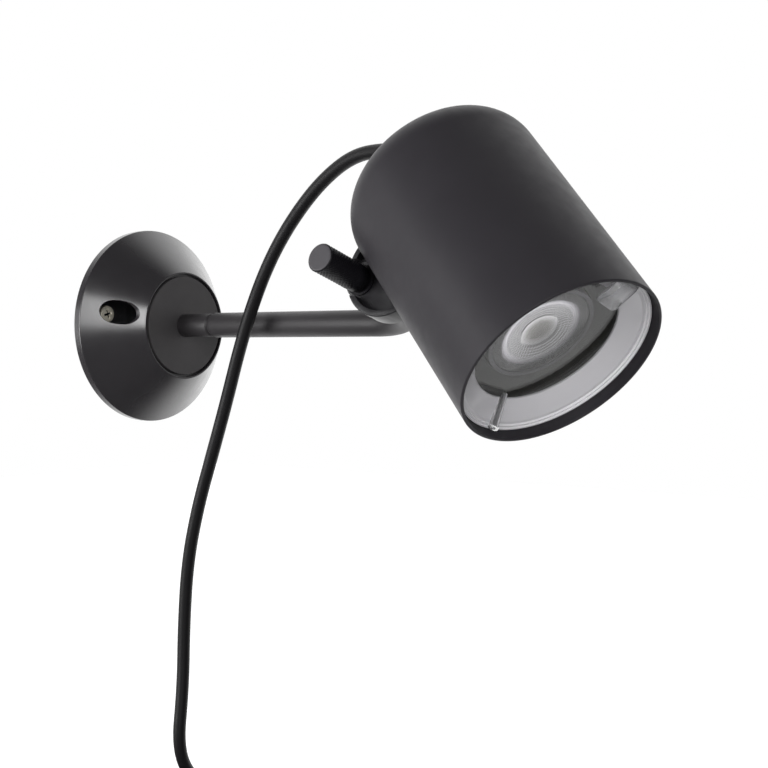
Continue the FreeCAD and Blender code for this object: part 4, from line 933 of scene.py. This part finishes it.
def relief_centre(share):
    """Centre line of the strain relief: an arc of 36 mm radius that leaves along the shade's axis."""
    out = -BEAM
    side = RELIEF_LEAN - out * (RELIEF_LEAN @ out)
    side = side / np.linalg.norm(side)
    turn = RELIEF_TURN * np.asarray(share)[..., None]
    place = GLAND_FACE / MM + RELIEF_BEND * (np.sin(turn) * out + (1 - np.cos(turn)) * side)
    return place, np.cos(turn) * out + np.sin(turn) * side


# %% [markdown]
# ## The put-away coil
# The length that nobody needs is wound up in a flat coil of two layers and tied. Its turns come from a formula:
# the radius shrinks steadily to the middle of the length and grows again, and the second layer lies one pitch
# behind. The line that follows cuts corners a little, so the points are moved outwards by the same amount.

# %% Coil
COIL_CENTRE = np.array([-36.0, -48.5, -296.0])
COIL_INNER = 26.7
COIL_PITCH = 7.7
COIL_TURNS = 5.125
COIL_START = np.radians(45.0)
COIL_EASE = 0.5
POINTS_PER_TURN = 16


def coil_line(turned):
    """Coil centre line: radius = inner + pitch * |turned - middle| / 2 pi, softened where it reverses."""
    along = turned - np.pi * COIL_TURNS
    radius = COIL_INNER + COIL_PITCH / (2 * np.pi) * (np.sqrt(along ** 2 + COIL_EASE ** 2) - COIL_EASE)
    share = np.clip(along / np.pi + 0.5, 0, 1)
    layer = COIL_PITCH * share ** 2 * (3 - 2 * share)
    angle = COIL_START - turned
    return COIL_CENTRE + np.stack([radius * np.cos(angle), layer, radius * np.sin(angle)], -1)


def coil_way(turned):
    """Direction of the coil's line, from two close points."""
    way = coil_line(turned + 1e-4) - coil_line(turned - 1e-4)
    return way / np.linalg.norm(way)


coil_begin = coil_line(0.0)
coil_in = coil_way(0.0)
coil_end_angle = 2 * np.pi * COIL_TURNS
tail_start = coil_line(coil_end_angle)
tail_way = coil_way(coil_end_angle)
plug_top = tail_start + tail_way * 9.0 + np.array([-0.6, 1.0, -19.0])
turn_step = 2 * np.pi / POINTS_PER_TURN
coil_angles = np.arange(turn_step, coil_end_angle, turn_step)
coil_bulge = 1 / np.cos(turn_step / 2)
coil_points = coil_line(coil_angles)
coil_points[:, [0, 2]] = COIL_CENTRE[[0, 2]] + (coil_points[:, [0, 2]] - COIL_CENTRE[[0, 2]]) * coil_bulge
print("coil points:", len(coil_points))

# %% [markdown]
# ## The lead's two stretches
# The arm turns on the wall and the head tips on the arm, so the lead is two cords: one bends between head and
# arm, and one between arm and wall. A round tube on a smooth line would twist if each ring were turned on its
# own, so a side direction is carried along the line from ring to ring.

# %% Smooth line and tube
relief_end, relief_way = (part[0] for part in relief_centre(np.array([1.0])))
split = (LEAD_ROUTE[UPPER_COUNT - 1] + LEAD_ROUTE[UPPER_COUNT]) / 2
upper_points = np.vstack([relief_end, relief_end + relief_way * FIRST_RUN, LEAD_ROUTE[:UPPER_COUNT], split])
lower_points = np.vstack([
    split, LEAD_ROUTE[UPPER_COUNT:], coil_begin - coil_in * 27.0 + np.array([-3.0, 0, 8.0]),
    coil_begin - coil_in * 9.0, coil_points, tail_start + tail_way * 9.0,
    plug_top + np.array([0, 0, 9.5]), plug_top])


def smooth_line(points):
    """Points, in metres, along a NURBS line of order 3 whose control points are given in millimetres."""
    data = bpy.data.curves.new("route", "CURVE")
    data.dimensions = "3D"
    spline = data.splines.new("NURBS")
    spline.points.add(len(points) - 1)
    spline.points.foreach_set("co", np.hstack([points * MM, np.ones((len(points), 1))]).ravel())
    spline.order_u = 3
    spline.use_endpoint_u = True
    spline.resolution_u = 8
    carrier = bpy.data.objects.new("route", data)
    line_mesh = bpy.data.meshes.new_from_object(carrier)
    line = np.zeros(len(line_mesh.vertices) * 3)
    line_mesh.vertices.foreach_get("co", line)
    for block, store in ((carrier, bpy.data.objects), (data, bpy.data.curves), (line_mesh, bpy.data.meshes)):
        store.remove(block)
    return line.reshape(-1, 3)


def carried_frames(line):
    """Two side directions at each point of a line, carried along it with as little twist as possible.

    Each step reflects the last side direction twice, first in the plane between two points and then in
    the plane between the two tangents."""
    tangent = np.gradient(line, axis=0)
    tangent /= np.linalg.norm(tangent, axis=1, keepdims=True)
    side = np.zeros_like(line)
    start = np.cross(tangent[0], [0.3, 0.2, 0.93])
    side[0] = start / np.linalg.norm(start)
    for index in range(len(line) - 1):
        step = line[index + 1] - line[index]
        mirror = 2 / (step @ step)
        side_seen = side[index] - mirror * (step @ side[index]) * step
        tangent_seen = tangent[index] - mirror * (step @ tangent[index]) * step
        between = tangent[index + 1] - tangent_seen
        size = between @ between
        side[index + 1] = side_seen - (2 / size * (between @ side_seen) * between if size > 1e-18 else 0)
    return side, np.cross(tangent, side)


def tube(line, radius, sides=20):
    """Points and faces of a round tube: centre + radius * (side cos a + other sin a), with flat end caps."""
    side, other = carried_frames(line)
    radius = np.broadcast_to(radius, len(line))[:, None, None]
    angle = np.linspace(0, 2 * np.pi, sides, endpoint=False)[None, :, None]
    rings = line[:, None] + radius * (np.cos(angle) * side[:, None] + np.sin(angle) * other[:, None])
    rings = np.concatenate([np.repeat(line[:1, None], sides, 1), rings, np.repeat(line[-1:, None], sides, 1)])
    return rings.reshape(-1, 3), grid_faces(len(rings), sides)[:, ::-1]


# %% [markdown]
# ## The lead's tube and length
# Each cord is a tube on its smooth line, and its length is summed along that line. Its sheath is black and nearly
# matt.

# %% Lead
cord_sheath = coated("cord_sheath", colour("171618"), colour("141315"), 0.46, 0.54, 1200.0, 0.00003,
                     Specular_IOR_Level=0.25)


def make_cord(name, points, cad_names):
    """A cord as a tube along its smooth line; it returns that line's length in metres."""
    line = smooth_line(points)
    verts, faces = tube(line, CORD_RADIUS * MM)
    mesh = bpy.data.meshes.new(name)
    mesh.from_pydata(verts.tolist(), [], faces.tolist())
    finish_mesh(mesh, 50.0)
    mesh.materials.append(cord_sheath)
    piece = bpy.data.objects.new(name, mesh)
    bpy.context.scene.collection.objects.link(piece)
    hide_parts(*cad_names)
    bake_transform(piece)
    length = np.linalg.norm(np.diff(line, axis=0), axis=1).sum()
    return length


upper_length = make_cord("lead_upper", upper_points, ["cord_upper"])
lower_length = make_cord("lead_lower", lower_points, ["cord_lower", "cord_coil", "cord_tail"])
print("lead:", round(upper_length + lower_length, 3), "m outside the relief")

# %% [markdown]
# ## Strain relief
# Where the lead leaves the shade, a tapered rubber sleeve keeps it from kinking. Rings moulded into it let it
# bend evenly. The lead's own arc carries a radius that tapers and dips at each groove.

# %% Strain relief
RELIEF_START = 5.6
RELIEF_END = 4.1
RELIEF_GROOVES = 5
GROOVE_DEPTH = 0.55
RELIEF_ROWS = 140


def relief_radius(share):
    """Taper from start to end, minus a groove wherever a cosine along the sleeve is near its lowest."""
    wave = np.cos(2 * np.pi * share * RELIEF_GROOVES)
    groove = np.clip((-wave - 0.2) / 0.5, 0, 1) * np.clip(share / 0.05, 0, 1) * np.clip((1 - share) / 0.05, 0, 1)
    return RELIEF_START + (RELIEF_END - RELIEF_START) * share - GROOVE_DEPTH * groove


relief_share = np.linspace(0, 1, RELIEF_ROWS)
relief_line, _ = relief_centre(relief_share)
relief_points, relief_faces = tube(relief_line * MM, relief_radius(relief_share) * MM, 64)
make_piece("strain_relief_ribbed", relief_points, relief_faces, "head", [black_rubber], ["strain_relief"])

# %% [markdown]
# ## Studio
# In the photograph the light comes from a white backdrop behind the light, which lies to the far right, and
# from a soft lamp far to the left. The camera's side of the room is dim, and this is why the dark paint stays
# deep in the middle and grows bright at grazing angles. The world is a gradient by direction: bright towards
# the backdrop and dim elsewhere. Reflections see that gradient too, so metal and glass show the white
# backdrop. The camera sees plain white everywhere, also through the clear cover.

# %% World
scene = bpy.context.scene
BACKDROP_WAY = (0.866, 0.5, 0.09)
BACKDROP_STRENGTH = 1.6
ROOM_STRENGTH = 0.10
GRADIENT_ENDS = (0.05, 0.75)    # cosines of the angle to the backdrop's middle, where the gradient runs


def ray_math(tree, operation, first, second):
    """One number from two: MAXIMUM works as or, MULTIPLY as and, LESS_THAN compares."""
    node = add_node(tree, "ShaderNodeMath", operation=operation)
    for socket, value in zip(node.inputs, (first, second)):
        if isinstance(value, (int, float)):
            socket.default_value = value
        else:
            tree.links.new(value, socket)
    return node.outputs[0]


def seen_directly(tree):
    """1 for the camera's own rays and for those that only passed through clear plastic on their way."""
    path = add_node(tree, "ShaderNodeLightPath")
    bounces = ray_math(tree, "ADD", path.outputs["Diffuse Depth"], path.outputs["Glossy Depth"])
    straight = ray_math(tree, "MULTIPLY", path.outputs["Is Transmission Ray"],
                        ray_math(tree, "LESS_THAN", bounces, 0.5))
    return ray_math(tree, "MAXIMUM", path.outputs["Is Camera Ray"], straight)


def seen_in_gloss(tree):
    """1 for rays that were mirrored by a surface, also when they passed clear plastic afterwards."""
    path = add_node(tree, "ShaderNodeLightPath")
    mirrored = ray_math(tree, "GREATER_THAN", path.outputs["Glossy Depth"], 0.5)
    return ray_math(tree, "MAXIMUM", path.outputs["Is Glossy Ray"], mirrored)


world = bpy.data.worlds.new("studio")
scene.world = world
world.use_nodes = True
tree = world.node_tree
way = add_node(tree, "ShaderNodeTexCoord")
towards = add_node(tree, "ShaderNodeVectorMath", operation="DOT_PRODUCT")
towards.inputs[1].default_value = BACKDROP_WAY
tree.links.new(way.outputs["Object"], towards.inputs[0])
gradient = add_node(tree, "ShaderNodeMapRange", {"From Min": GRADIENT_ENDS[0], "From Max": GRADIENT_ENDS[1],
                    "To Min": ROOM_STRENGTH, "To Max": BACKDROP_STRENGTH}, interpolation_type="SMOOTHSTEP")
tree.links.new(towards.outputs["Value"], gradient.inputs["Value"])
room = tree.nodes["Background"]
room.inputs["Color"].default_value = (1, 1, 1, 1)
tree.links.new(gradient.outputs["Result"], room.inputs["Strength"])
white = add_node(tree, "ShaderNodeBackground", {"Color": (1, 1, 1, 1), "Strength": 1.0})
mix = add_node(tree, "ShaderNodeMixShader")
tree.links.new(seen_directly(tree), mix.inputs[0])
tree.links.new(room.outputs[0], mix.inputs[1])
tree.links.new(white.outputs[0], mix.inputs[2])
tree.links.new(mix.outputs[0], tree.nodes["World Output"].inputs["Surface"])

# %% [markdown]
# ## Floor
# The floor lies well below the light. To the camera it glows a little by itself, with lit paint on top. The
# glow is weaker just below the object, where lamp light makes up the rest, so a soft shadow stays on the
# floor there, and stronger farther out, so the floor runs on into the white backdrop. Reflections look
# through it to the backdrop, which in the photograph runs on below the light.

# %% Floor
FLOOR_HEIGHT = -0.42
FLOOR_SIZE = 6.0
FLOOR_PAINT = 0.62
BELOW_LIGHT = (-0.05, -0.2, FLOOR_HEIGHT)
GLOW_NEAR, GLOW_FAR = 0.42, 0.85
GLOW_GROWS = (0.1, 0.75)        # metres from the place below the light

half = FLOOR_SIZE / 2
floor_mesh = bpy.data.meshes.new("floor")
floor_mesh.from_pydata([(-half, -half, FLOOR_HEIGHT), (half, -half, FLOOR_HEIGHT),
                        (half, half, FLOOR_HEIGHT), (-half, half, FLOOR_HEIGHT)], [], [(0, 1, 2, 3)])
floor = bpy.data.objects.new("floor", floor_mesh)
scene.collection.objects.link(floor)
floor_finish, tree, shader = new_finish("floor_pale", (FLOOR_PAINT, FLOOR_PAINT, FLOOR_PAINT, 1), 0.9)
place = add_node(tree, "ShaderNodeTexCoord")
away = add_node(tree, "ShaderNodeVectorMath", operation="DISTANCE")
away.inputs[1].default_value = BELOW_LIGHT
more = add_node(tree, "ShaderNodeMapRange", {"From Min": GLOW_GROWS[0], "From Max": GLOW_GROWS[1],
                "To Min": GLOW_NEAR, "To Max": GLOW_FAR}, interpolation_type="SMOOTHSTEP")
glow = add_node(tree, "ShaderNodeEmission", {"Color": (1, 1, 1, 1)})
tree.links.new(place.outputs["Object"], away.inputs[0])
tree.links.new(away.outputs["Value"], more.inputs["Value"])
tree.links.new(more.outputs["Result"], glow.inputs["Strength"])
open_floor = add_node(tree, "ShaderNodeBsdfTransparent")
both = add_node(tree, "ShaderNodeAddShader")
tree.links.new(shader.outputs[0], both.inputs[0])
tree.links.new(glow.outputs[0], both.inputs[1])
camera_mix = add_node(tree, "ShaderNodeMixShader")
mirror_mix = add_node(tree, "ShaderNodeMixShader")
tree.links.new(seen_directly(tree), camera_mix.inputs[0])
tree.links.new(seen_in_gloss(tree), mirror_mix.inputs[0])
tree.links.new(shader.outputs[0], mirror_mix.inputs[1])
tree.links.new(open_floor.outputs[0], mirror_mix.inputs[2])
tree.links.new(mirror_mix.outputs[0], camera_mix.inputs[1])
tree.links.new(both.outputs[0], camera_mix.inputs[2])
tree.links.new(camera_mix.outputs[0], tree.nodes["Material Output"].inputs["Surface"])
floor_mesh.materials.append(floor_finish)
print("floor at", FLOOR_HEIGHT, "m")

# %% [markdown]
# ## Lamps
# A large soft lamp stands to the left, level with the light. A tall soft strip beside the camera gives the
# satin base its upright band of light. Each lamp is placed by a direction and a distance from the object.

# %% Lamps
STUDIO_CENTRE = np.array([-0.05, -0.2, 0.0])


def soft_lamp(name, azimuth, elevation, distance, width, height, power):
    """A rectangular area lamp at azimuth and elevation in degrees round the object, aimed at its middle."""
    azimuth, elevation = np.radians([azimuth, elevation])
    way = np.array([np.sin(azimuth) * np.cos(elevation), -np.cos(azimuth) * np.cos(elevation), np.sin(elevation)])
    data = bpy.data.lights.new(name, "AREA")
    data.shape = "RECTANGLE"
    data.size = width
    data.size_y = height
    data.energy = power
    lamp = bpy.data.objects.new(name, data)
    scene.collection.objects.link(lamp)
    aim = Vector((-way).tolist())
    place = Vector((STUDIO_CENTRE + way * distance).tolist())
    lamp.matrix_world = Matrix.Translation(place) @ aim.to_track_quat("-Z", "Y").to_matrix().to_4x4()
    lamp.visible_camera = False
    return lamp


soft_lamp("left_lamp", -125, 0, 1.2, 0.7, 0.7, 12.0)
soft_lamp("strip_lamp", -52, 14, 1.3, 0.25, 0.72, 7.2)
scene.view_settings.view_transform = "Standard"
